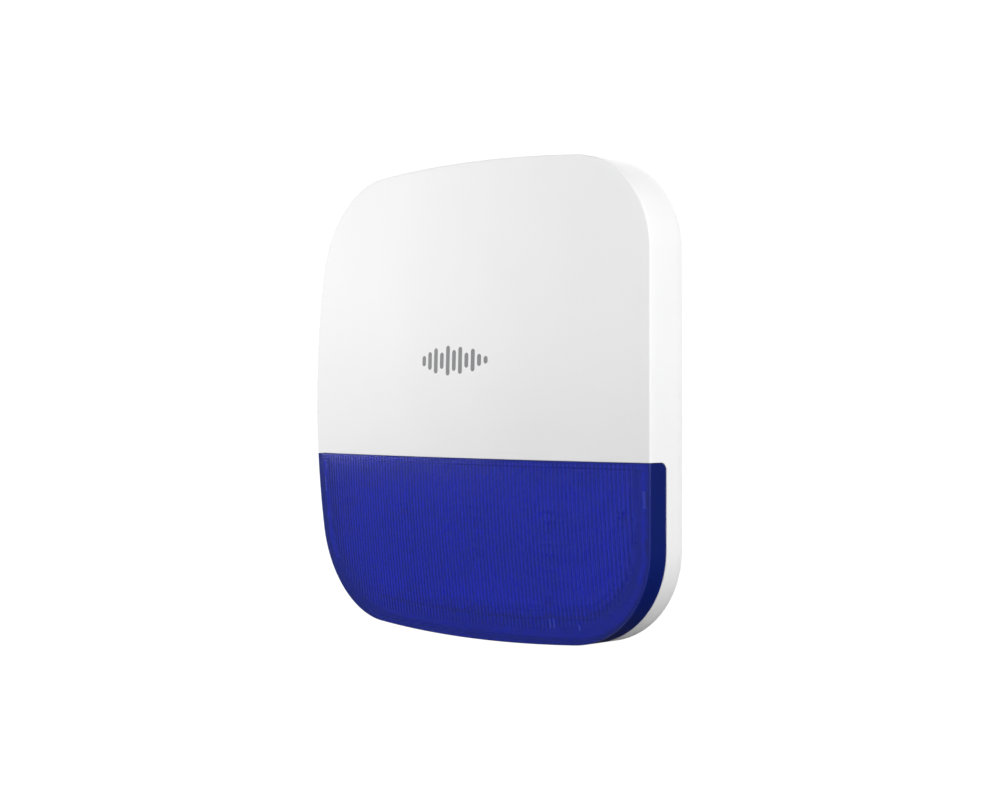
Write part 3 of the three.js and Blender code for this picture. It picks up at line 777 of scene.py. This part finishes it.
TUB = 88  # half side of the square tub
TUB_CORNER = 16
CASE_BACK = -6
CASE_FLOOR = -8.5
FLANGE_INSET = 3.6
FLANGE_FRONT, FLANGE_BACK = 18.5, 21  # behind the crowned face
STUDS = [(x, z) for x in (-72, 72) for z in (66, -60)]
DRIVER = (-30, 35)  # x and z of the sounder
WALL_SWITCH = (30, -19)
BOARD_POSTS = [(x, z) for z in (-30, -8) for x in (-70, 70)]
DRIVER_POSTS = [(DRIVER[0] + x, DRIVER[1] + z) for z in (-29, 29) for x in (-29, 29)]
REFLECTOR_POSTS = [(-97, -55), (97, -55), (-50, -98), (50, -98)]


def square(half, radius):
    return rectangle((-half, half), (-half, half), radius, 10)


def grille_slots():
    slots = []
    for row in range(-3, 4):
        half = math.sqrt(28 ** 2 - (row * 8) ** 2)
        x, z = DRIVER[0], DRIVER[1] + row * 8
        slots.append(prism(rectangle(about(x, half), about(z, 1.75), 1.7), -10, -4, 0.05))
    return slots


def keyhole(x, z):
    """The slot that takes a bracket stud: wide below, narrow above, with room for the head."""
    cavity = block(about(x, 6.5), (-12.5, CASE_FLOOR), (z - 16, z + 7), 0.3)
    narrow = prism(rectangle(about(x, 2.5), (z - 12, z + 2.5), 2.4), -10, -4, 0.05)
    return [cavity, narrow, hole((x, z - 10), 5.3, -10, -4)]


def post_gussets(x, z, radius, top, base):
    """Two crossed fins that hold up a screw post."""
    reach = radius + 2.2
    points = [(-reach, base), (reach, base), (radius - 0.2, top), (0.2 - radius, top)]
    across = loft([[(x + u, y, z + w) for u, y in points] for w in (-0.6, 0.6)])
    upright = loft([[(x + w, y, z + u) for u, y in points] for w in (-0.6, 0.6)])
    return [across, upright]


def rim_gussets():
    """Triangular ribs between the tub and the back of the flange, all the way round."""
    ribs = []
    for place in (-62, -31, 31, 62):
        rear = dome(TUB, place) + FLANGE_BACK - 0.6
        for side in (-1, 1):
            corners = [(side * (TUB - 0.6), -14), (side * (TUB - 0.6), rear), (side * 107, rear + 2.2)]
            ribs.append(loft([[(u, y, place + w) for u, y in corners] for w in (-0.7, 0.7)]))
            ribs.append(loft([[(place + w, y, u) for u, y in corners] for w in (-0.7, 0.7)]))
    return ribs


def swing_relief(side):
    """Room that the cover's rim sweeps at one of the flange's top corners."""
    ring = domed_ring(-3, 7, 8, 34)
    reach = (60, 130) if side > 0 else (-130, -60)
    return keep_inside(ring, block(reach, DEEP, (95, 130)))


def make_rear_case():
    case = domed_slab(FLANGE_INSET, FLANGE_FRONT, FLANGE_BACK)
    cut(case, swing_relief(-1), swing_relief(1))
    tub = prism(square(TUB, TUB_CORNER), -60, CASE_BACK, 1.2)
    cut(tub, domed_slab(-20, -60, FLANGE_FRONT))
    join(case, tub)
    cut(case, prism(square(TUB - 2.5, TUB_CORNER - 2.5), -120, CASE_FLOOR, 1.0))
    cut(case, block((-9, 9), DEEP, (-130, -112.6)))
    posts = [(spot, 3.0, -25.1, -8) for spot in BOARD_POSTS]
    posts += [(spot, 2.8, -12.7, -8) for spot in DRIVER_POSTS]
    posts += [(spot, 3.5, -39.7, -33.5) for spot in REFLECTOR_POSTS]
    added = [peg(spot, radius, top, base) for spot, radius, top, base in posts]
    for spot in BOARD_POSTS:
        added += post_gussets(*spot, 3.0, -23, -8.2)
    added += [block(about(x, 8.5), (-14.5, -8), (z - 18, z + 9), 0.8) for x, z in STUDS]
    added += [peg(WALL_SWITCH, 6.6, -15.5, -8), block((-5, 5), (-34.3, -28.2), (-112.6, -100), 0.4)]
    added += [hole(DRIVER, 34.6, -10, -8, sides=72)]
    join(case, *added, *rim_gussets())
    gone = [hole(spot, 1.5, top - 1, top + 3.5) for spot, _, top, _ in posts]
    gone += [hole(WALL_SWITCH, 4.6, -20, CASE_FLOOR), hole(WALL_SWITCH, 2.8, -10, -4)]
    gone += [hole(LOCK, 1.8, -114, -99, "Z"), hole(DRIVER, 33.3, -12, CASE_FLOOR, sides=72), *grille_slots()]
    for x, z in STUDS:
        gone += keyhole(x, z)
    cut(case, *gone)
    finish_piece(case, "case_shell", "case_plastic", "rear_case")


def make_cover_seal():
    seal = domed_ring(9, 11.5, 14.8, 18.2, 0.5)
    groove = domed_ring(9.9, 10.6, 14.4, 15.5, 0.2)
    finish_piece(cut(seal, groove), "seal_ring", "seal_rubber", "cover_seal")


def bracket_pockets():
    """Hollows in the plate's back that leave a grid of ribs between them."""
    rows = ((-63, -34), (-32, -3), (-1, 30), (32, 63))
    columns = (((-74, -40), 2), ((-38, -4), 2), ((8, 40), 4), ((42, 74), 4))
    return [prism(rectangle(x, z, 2.5), -1.4, 2, 0.2) for x, count in columns for z in rows[:count]]


WALL_HOLES = [(x, z) for x in (-40, 40) for z in (-73, 73)]


def make_wall_bracket():
    plate = prism(square(80, 14), -3, 0, 0.5)
    rim = cut(prism(square(80, 14), -5, -2.4, 0.4), prism(square(78, 12), -12, 1, 0.1))
    collar = cut(hole(DRIVER, 34, -4.6, -2.5, sides=72), hole(DRIVER, 31, -9, 1, sides=72))
    profile = [(2.6, -11.5), (4.5, -11.5), (4.5, -9), (2.2, -9), (2.2, -3.4), (3.4, -2.4), (3.4, -1.5)]
    studs = [lathe(softened(profile, 0.5), spot, sides=40) for spot in STUDS]
    bosses = [peg(spot, 5.5, -4.4, -2, 0.4) for spot in WALL_HOLES]
    join(plate, rim, collar, *studs, *bosses)
    gone = [hole(spot, 2.75, -20, 5) for spot in WALL_HOLES]
    cut(plate, hole(DRIVER, 32, -20, 5, sides=72), *gone, *bracket_pockets())
    finish_piece(plate, "bracket_plate", "case_plastic", "wall_bracket", body="bracket")


make_rear_case()
make_cover_seal()
make_wall_bracket()

# ---- Screws ----


def screw_mesh(head_radius, head_height, shank_radius, length):
    """A pan-head screw along Y, its seat at the origin and its head towards -Y."""
    crown = [(0.3, -head_height), (head_radius * 0.55, -head_height), (head_radius, -head_height * 0.55),
             (head_radius, 0), (shank_radius, 0)]
    profile = softened(crown, 0.35)
    pitch = 0.6
    for turn in range(int((length - 1.0) / pitch)):
        along = 0.6 + turn * pitch
        profile += [(shank_radius * 0.84, along), (shank_radius, along + pitch / 2)]
    profile += [(shank_radius * 0.84, length - 0.4), (shank_radius * 0.4, length)]
    body = lathe(profile, (0, 0), sides=32)
    arm, depth = head_radius * 0.58, head_height * 0.75
    for x, z in ((arm, 0.32), (0.32, arm)):
        rim = [(a, -head_height - 0.2, b) for a, b in ((-x, -z), (x, -z), (x, z), (-x, z))]
        root = [(a * 0.6, -head_height + depth, b * 0.6) for a, _, b in rim]
        cut(body, loft([rim, root]))
    return body


def make_screws(family, spots, seat, length):
    for number, (x, z) in enumerate(spots, 1):
        screw = screw_mesh(2.8, 1.6, 1.2, length)
        screw.data.transform(Matrix.Translation((x, seat, z)))
        node = "%s_%d" % (family, number)
        finish_piece(screw, node + "_part", "screw_steel", node)


def make_lock_screw():
    screw = screw_mesh(2.8, 2.6, 1.5, 14.5)
    screw.data.transform(Matrix.Rotation(math.radians(90), 4, "X"))
    screw.data.transform(Matrix.Translation((*LOCK, -116.8)))
    finish_piece(screw, "lock_screw_part", "screw_steel", "cover_lock_screw", body="lock_screw")


make_screws("reflector_screw", REFLECTOR_POSTS, -42.3, 5)
make_screws("board_screw", BOARD_POSTS, -27.3, 4.5)
make_screws("driver_screw", DRIVER_POSTS, -16.3, 6.5)
make_lock_screw()

# ---- Light unit ----

REFLECTOR_TOP = -32.5
REFLECTOR_FLOOR = -42
REFLECTOR_BACK = -40
LED_SPOTS = [(x, z) for x in (-50, 0, 50) for z in (-62, -78)]


def make_light_reflector():
    """The white basin behind the lens, with a cup round each lamp."""
    rings = [level(14.4, 5, scale) for scale in (*FACE_SCALES, 1.0)] + [level(14, 5.4)]
    closing = ((REFLECTOR_BACK - 0.4, 1.0), (REFLECTOR_BACK, 0.995), (REFLECTOR_BACK, 0.02))
    rings += [[(x, y, z) for x, _, z in level(14, 0, scale)] for y, scale in closing]
    basin = keep_inside(loft(rings), block(WIDE, DEEP, (-130, REFLECTOR_TOP)))
    slope = ((15.6, -70), (16.4, -45), (18.4, REFLECTOR_FLOOR - 0.5), (19.4, REFLECTOR_FLOOR))
    draft = [[(x, y, z) for x, z in outline(inset)] for inset, y in slope]
    room = keep_inside(loft(draft), block(WIDE, DEEP, (-130, REFLECTOR_TOP - 2)))
    cut(basin, room)
    cup = softened([(4.4, -41.6), (6.6, -42.9), (7.2, -42.9), (8.6, -41.6)], 0.4)
    join(basin, *[lathe(cup, spot, ends="loop") for spot in LED_SPOTS])
    gone = [hole(spot, 3.4, -60, -30) for spot in LED_SPOTS]
    gone += [hole(spot, 1.6, -60, -30) for spot in REFLECTOR_POSTS]
    cut(basin, *gone)
    finish_piece(basin, "reflector_basin", "reflector_plastic", "light_reflector")


def make_leds():
    angles = [math.radians(8 * i) for i in range(11)]
    crown = [(3.1 * math.cos(a), -42.4 - 2.5 * math.sin(a)) for a in angles]
    for number, spot in enumerate(LED_SPOTS, 1):
        lamp = lathe([(3.2, REFLECTOR_BACK), (3.2, -41.9), *crown], spot)
        finish_piece(lamp, "led_%d_lens" % number, "led_resin", "strobe_led_%d" % number)


def make_led_board():
    board = prism(rectangle((-72, 72), (-85, -54), 2.5), -39.7, -38.1, 0.1)
    cut(board, *[hole((x, z), 1.2, -50, -30) for x in (-68, 68) for z in (-81, -58)])
    finish_piece(board, "led_board_panel", "led_laminate", "led_board")


# ---- Main board ----

BOARD_FRONT, BOARD_BACK = -27.0, -25.4
ON_BOARD = -27.3  # parts stand off the board a little
BUTTON = (-5, -25)
CAPACITOR = (50, -19)


def make_main_board():
    board = prism(rectangle((-75, 75), (-34, -4), 2.0), BOARD_FRONT, BOARD_BACK, 0.1)
    cut(board, *[hole(spot, 1.6, -40, -20) for spot in BOARD_POSTS])
    finish_piece(board, "main_board_panel", "board_laminate", "main_board")


def pad(x, z, half_x, half_z, height, edge=0.15):
    """A part lying on the board."""
    depth = (ON_BOARD - height, BOARD_FRONT + 0.02)
    return block(about(x, half_x), depth, about(z, half_z), edge)


def make_board_parts():
    """Chips, passives and plugs on the main board's front."""
    chips = [pad(30, -20, 5, 5, 1.2, 0.2), pad(-14, -16, 3, 2.5, 1.0)]
    chips += [pad(-22, -28, 2.2, 2.2, 0.9), pad(61, -27, 2.6, 2, 1.1)]
    legs = []
    for at in range(-4, 5):
        legs += [pad(30 + at, -20 + side * 5.6, 0.18, 0.7, 0.1, 0) for side in (-1, 1)]
        legs += [pad(30 + side * 5.6, -20 + at, 0.7, 0.18, 0.1, 0) for side in (-1, 1)]
    legs += [pad(-14 + side * 3.5, -17.8 + 1.2 * i, 0.6, 0.2, 0.1, 0) for i in range(4) for side in (-1, 1)]
    spots = [(-36.5, -31 + 3.2 * i) for i in range(8) if i not in (2, 3, 4)]
    spots += [(20 + 2.6 * i, -29 if i % 2 else -31.5) for i in range(2, 11)]
    spots += [(-30 + 3 * i, -7.5) for i in range(4)] + [(42.5, -28 + 3 * i) for i in range(4)]
    bodies = [pad(x, z, 0.55, 0.6, 0.45, 0) for x, z in spots]
    ends = [pad(x + side * 0.8, z, 0.28, 0.6, 0.48, 0) for x, z in spots for side in (-1, 1)]
    crystal = prism(rectangle((45, 55), (-32.5, -28.5), 1.9), ON_BOARD - 2.6, BOARD_FRONT + 0.02, 0.3)
    coil = peg((64, -20), 3.2, ON_BOARD - 3, BOARD_FRONT + 0.02, 0.4)
    plugs = [pad(x, z, 2.6, 1.6, 1.0, 0.2) for x, z in ((-17, -8), (38, -8.5), (22, -30.5), (60, -8))]
    parts = {
        "board_chips": (chips, "black_plastic"),
        "chip_legs": (legs, "screw_steel"),
        "small_parts": (bodies, "black_plastic"),
        "small_part_ends": (ends, "screw_steel"),
        "crystal_can": ([crystal], "screw_steel"),
        "choke_coil": ([coil], "black_plastic"),
        "lead_plugs": (plugs, "white_key"),
    }
    for name, (pieces, slot) in parts.items():
        finish_piece(dropped(*pieces), name, slot)


def make_radio_shield():
    can = block((-62, -40), (ON_BOARD - 3.2, ON_BOARD), (-29, -10), 0.5)
    cut(can, block((-61.5, -40.5), (ON_BOARD - 2.7, 0), (-28.5, -10.5)))
    vents = [(-58.5 + 3 * i, -26 + 3.25 * j) for i in range(6) for j in range(5)]
    cut(can, *[hole(spot, 0.6, -40, -28, sides=16) for spot in vents])
    finish_piece(can, "shield_can", "shield_steel", "radio_shield")


def make_capacitor():
    low, high = ON_BOARD - 16, ON_BOARD
    crimp = [(5.5, high - 3.2), (5.1, high - 2.4), (5.1, high - 2.0), (5.5, high - 1.4)]
    line = [(4.7, low), (5.5, low), *crimp, (5.5, high), (5, high)]
    sleeve = lathe(softened(line, 0.5), CAPACITOR)
    cut(sleeve, hole(CAPACITOR, 4.4, low - 1, low + 0.15))
    finish_piece(sleeve, "capacitor_sleeve", "black_plastic", "storage_capacitor")
    end = peg(CAPACITOR, 4.35, low + 0.02, low + 0.6, 0.1)
    for half_x, half_z in ((3.2, 0.15), (0.15, 3.2)):
        cut(end, block(about(50, half_x), (-50, low + 0.2), (-19 - half_z, -19 + half_z)))
    finish_piece(end, "capacitor_end", "screw_steel")


def tactile_switch(place, half, height, well, name):
    """A square switch body with a steel top plate round the plunger's well."""
    x, z = place
    front = ON_BOARD - height
    body = block(about(x, half), (front + 0.2, ON_BOARD), about(z, half), 0.3)
    cut(body, hole(place, well, -60, ON_BOARD - 1))
    finish_piece(body, name + "_housing", "black_plastic", name + "_body")
    rim = rectangle((x - half + 0.2, x + half - 0.2), (z - half + 0.2, z + half - 0.2), 0.5)
    plate = prism(rim, front, front + 0.25, 0.08)
    corners = [(x + i * (half - 1), z + j * (half - 1)) for i in (-1, 1) for j in (-1, 1)]
    dimples = [peg(corner, 0.45, front, front + 0.2, 0.05, sides=12) for corner in corners]
    cut(plate, hole(place, well, -60, 0), *dimples)
    finish_piece(plate, name + "_plate", "screw_steel")


def make_switches():
    tactile_switch(COVER_SWITCH, 4, 3.3, 2.1, "cover_switch")
    tip = peg(COVER_SWITCH, 1.8, -33, -29.6, 0.35)
    finish_piece(tip, "cover_switch_tip", "white_key", "cover_switch_plunger", body="cover_plunger")
    tactile_switch(BUTTON, 3.2, 3, 1.9, "pairing_button")
    button = peg(BUTTON, 1.6, -31.8, -29.2, 0.35)
    finish_piece(button, "pairing_button_tip", "red_key", "pairing_button", body="pairing_button")
    body = block((4, 17), (ON_BOARD - 3.7, ON_BOARD), (-15.5, -8.5), 0.3)
    cut(body, block((5, 16), (-60, ON_BOARD - 1.7), (-13.2, -10.8)))
    finish_piece(body, "power_switch_housing", "black_plastic", "power_switch_body")
    lever = block((5.4, 10.4), (ON_BOARD - 3.3, ON_BOARD - 2), (-12.9, -11.1), 0.2)
    join(lever, block((6.6, 9.2), (ON_BOARD - 6, ON_BOARD - 3), (-12.9, -11.1), 0.3))
    cut(lever, *[block((7.1 + 0.6 * i, 7.35 + 0.6 * i), (-60, ON_BOARD - 5.7), (-20, 0)) for i in range(3)])
    finish_piece(lever, "power_switch_knob", "white_key", "power_switch_lever", body="power_lever")
    wall_body = block((26.8, 33.2), (BOARD_BACK + 0.3, -21), (-22.2, -15.8), 0.4)
    join(wall_body, peg(WALL_SWITCH, 2.2, -21.4, -20.9, 0.1))
    finish_piece(wall_body, "wall_switch_housing", "black_plastic", "wall_switch_body")


def make_wall_plunger():
    collar = [(2.4, -11), (4.2, -11), (4.2, -9.2), (2.4, -9.2)]
    line = [(1.8, -18.7), (2.4, -18.7), *collar, (2.4, -3.3), (1.6, -3.3)]
    pin = lathe(softened(line, 0.4), WALL_SWITCH)
    finish_piece(pin, "plunger_pin", "black_plastic", "wall_plunger", body="wall_plunger")
    ring = softened([(2.8, -15.8), (2.8, -17.4), (6.6, -17.4), (6.6, -15.8)], 0.3)
    cap = lathe(ring, WALL_SWITCH, ends="loop")
    finish_piece(cap, "plunger_cap", "black_plastic", "wall_plunger_cap")
    coil = wire(helix(WALL_SWITCH, 3.35, -15.2, -11.6, 5), 0.25)
    finish_piece(coil, "plunger_coil", "screw_steel", "wall_plunger_spring")
    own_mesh(coil)


make_light_reflector()
make_leds()
make_led_board()
make_main_board()
make_board_parts()
make_radio_shield()
make_capacitor()
make_switches()
make_wall_plunger()

# ---- Sounder ----


def make_siren_driver():
    line = [(2, -15), (30, -15), (30, -29), (29, -31), (17.5, -33.6), (16.8, -34.4), (2, -34.4)]
    driver = lathe(softened(line, 0.6), DRIVER, sides=72)
    x, z = DRIVER
    plate = prism(rectangle(about(x, 33), about(z, 33), 6), -16, -13, 0.5)
    fins = []
    for i in range(12):
        a = 2 * math.pi * i / 12
        fin = block((18, 29.6), (-31.8, -28), (-0.8, 0.8), 0.2)
        fin.data.transform(Matrix.Translation((x, 0, z)) @ Matrix.Rotation(a, 4, "Y"))
        fins.append(fin)
    join(driver, plate, *fins)
    cut(driver, *[hole(spot, 1.6, -60, 0) for spot in DRIVER_POSTS])
    finish_piece(driver, "driver_basket", "black_plastic", "siren_driver")
    line = [(3, -34.2), (16, -34.2), (16, -41.8), (15.2, -42), (15.2, -43), (14.4, -44), (3, -44)]
    magnet = lathe(softened(line, 0.4), DRIVER, sides=72)
    cut(magnet, hole(DRIVER, 3.4, -50, -42))
    finish_piece(magnet, "driver_magnet", "shield_steel")
    tabs = [block((x + u - 1.2, x + u + 1.2), (-36.6, -30), (z - 30.6, z - 29.9), 0.1) for u in (-4, 4)]
    finish_piece(dropped(*tabs), "driver_tabs", "screw_steel")


def make_siren_horn():
    line = [(20, -12.5), (20.6, -12.7), (35, -12.7), (35, -9.9), (30, -9.9), (26, -10.3), (22, -11.4)]
    horn = lathe(softened([*line, line[0]], 0.3)[:-1], DRIVER, sides=72, ends="loop")
    finish_piece(horn, "horn_ring", "case_plastic", "siren_horn")


def make_sound_membrane():
    """A thin disc with rings pressed into it."""
    radii = [1 + 0.8 * i for i in range(41)]
    waves = [0.14 * math.sin(r * 1.6) * (1 if 6 < r < 30 else 0) for r in radii]
    near = [(r, -9.42 + w) for r, w in zip(radii, waves)]
    far = [(r, -8.98 + w) for r, w in zip(radii, waves)]
    disc = lathe([*near, *reversed(far)], DRIVER, sides=96)
    finish_piece(disc, "membrane_disc", "seal_rubber", "sound_membrane")


make_siren_driver()
make_siren_horn()
make_sound_membrane()

# ---- Battery pack ----

CELL_RADIUS = 8.3
CELL_LENGTH = 34.3
CELL_Y = -19.6
CELL_COLUMNS = (27.7, 48.3)
CELL_STARTS = (6.2, 40.8)


def make_battery_holder():
    tray = block((16, 60), (-26, -8.8), (2, 80), 0.8)
    cut(tray, block((18, 58), (-60, -11), (4, 78), 0.3))
    cut(tray, prism(rectangle((-40, -19), (32, 50), 4), 0, 100, 0.1, "X"))
    divider = block((37.3, 38.7), (-20, -10), (5.2, 76.8), 0.3)
    cradles = []
    for x in CELL_COLUMNS:
        for z in (15, 32, 50, 67):
            cradle = block(about(x, 7), (-14.5, -10.5), about(z, 0.8), 0.2)
            cradles.append(cut(cradle, hole((x, CELL_Y), CELL_RADIUS + 0.3, 0, 90, "Z", 64)))
    join(tray, divider, *cradles)
    finish_piece(tray, "battery_tray", "black_plastic", "battery_holder")


def make_cells():
    for column, x in enumerate(CELL_COLUMNS):
        for row, z in enumerate(CELL_STARTS):
            place = (x, CELL_Y)
            cell = "cell_%d" % (column * 2 + row + 1)
            top = z + CELL_LENGTH - 1.2
            line = [(5.4, z + 0.25), (7.4, z + 0.05), (CELL_RADIUS, z + 0.3)]
            line += [(CELL_RADIUS, top - 0.2), (7.4, top), (4.4, top - 0.15)]
            sleeve = lathe(softened(line, 0.5), place, "Z", 64)
            finish_piece(sleeve, cell + "_sleeve", "cell_sleeve", "battery_" + cell)
            nub = [(4.2, top - 0.1), (4.2, top + 0.15), (2.8, top + 0.25), (2.8, top + 1.2), (1, top + 1.2)]
            cap = lathe(softened(nub, 0.3), place, "Z")
            finish_piece(cap, cell + "_cap", "screw_steel")
            band = hole(place, CELL_RADIUS + 0.03, top - 7, top - 3.5, "Z", 64)
            cut(band, hole(place, CELL_RADIUS - 0.2, z, top, "Z", 64))
            finish_piece(band, cell + "_band", "cell_sleeve", material="white_key")


def make_contacts():
    for name, z0, z1, tip, up in (("lower", 4.3, 4.8, 5.9, 1), ("upper", 77.2, 77.7, 75.7, -1)):
        plate = prism(rectangle((19, 57), (-25, -12), 1.5), z0, z1, 0.15, "Z")
        bumps = []
        for x in CELL_COLUMNS:
            start = z1 - 0.1 if up > 0 else z0 + 0.1
            line = [(3.0, start), (2.6, (start + tip) / 2), (1.6, tip - up * 0.1), (0.8, tip)]
            bumps.append(lathe(line, (x, CELL_Y), "Z"))
        join(plate, *bumps)
        finish_piece(plate, "contact_%s_spring" % name, "screw_steel", "battery_contact_" + name)


# ---- Aerial and leads ----


def make_aerial():
    strip = prism(rectangle((-24, -8.8), (2, 44), 1.0), 70, 71.2, 0.08, "X")
    finish_piece(strip, "aerial_panel", "board_laminate", "aerial_strip")
    face = (69.96, 70.04)
    bars = [block(face, (-21, -11), (8 + 4 * i, 9 + 4 * i)) for i in range(9)]
    links = [(-21, -20) if i % 2 else (-12, -11) for i in range(8)]
    bars += [block(face, y, (8.5 + 4 * i, 12.5 + 4 * i)) for i, y in enumerate(links)]
    bars.append(block(face, (-20.5, -19.5), (4, 8.5)))
    finish_piece(dropped(*bars), "aerial_track", "screw_steel")


def curve_through(points, steps=8):
    """Catmull-Rom points through a few points."""
    knots = [Vector(p) for p in (points[0], *points, points[-1])]
    knots[0], knots[-1] = knots[1] * 2 - knots[2], knots[-2] * 2 - knots[-3]
    line = []
    for a, b, c, d in zip(knots, knots[1:], knots[2:], knots[3:]):
        for i in range(steps):
            t = i / steps
            bend, twist = 2 * a - 5 * b + 4 * c - d, 3 * b - a - 3 * c + d
            line.append(0.5 * (2 * b + (c - a) * t + bend * t * t + twist * t ** 3))
    return [*line, knots[-2]]


def twin(route, side, turns=3):
    """One wire of a twisted pair about a route."""
    line = []
    for index, point in enumerate(route):
        ahead = direction(route, index)
        across = ahead.cross(Vector((0.2, 0.3, 0.93))).normalized()
        turn = 2 * math.pi * turns * index / len(route) + side * math.pi
        line.append(point + 0.6 * (across * math.cos(turn) + ahead.cross(across) * math.sin(turn)))
    return line


LEADS = {
    "siren_lead": [(-22, -30, 4.3), (-20, -33, 1), (-18, -32.5, -5), (-17, -28.8, -8)],
    "battery_lead": [(38, -23, 0.4), (38, -27.5, -1), (38, -31, -4), (38, -28.8, -8.5)],
    "led_lead": [(22, -36.7, -58), (22, -34, -48), (22, -31, -38), (22, -28.8, -31)],
}
AERIAL_ROUTE = [(68.7, -20, 6), (65, -25, 2), (61, -30, -3), (60, -28.4, -8)]


def make_leads():
    for node, points in LEADS.items():
        route = curve_through(points, 12)
        red, black = [wire(twin(route, side), 0.55) for side in (0, 1)]
        finish_piece(red, node + "_red", "lead_sheath", node)
        finish_piece(black, node + "_black", "lead_sheath", material="black_plastic")
    coax = wire(curve_through(AERIAL_ROUTE, 12), 0.75, 12)
    finish_piece(coax, "aerial_coax", "lead_sheath", "aerial_lead", material="black_plastic")


make_battery_holder()
make_cells()
make_contacts()
make_aerial()
make_leads()
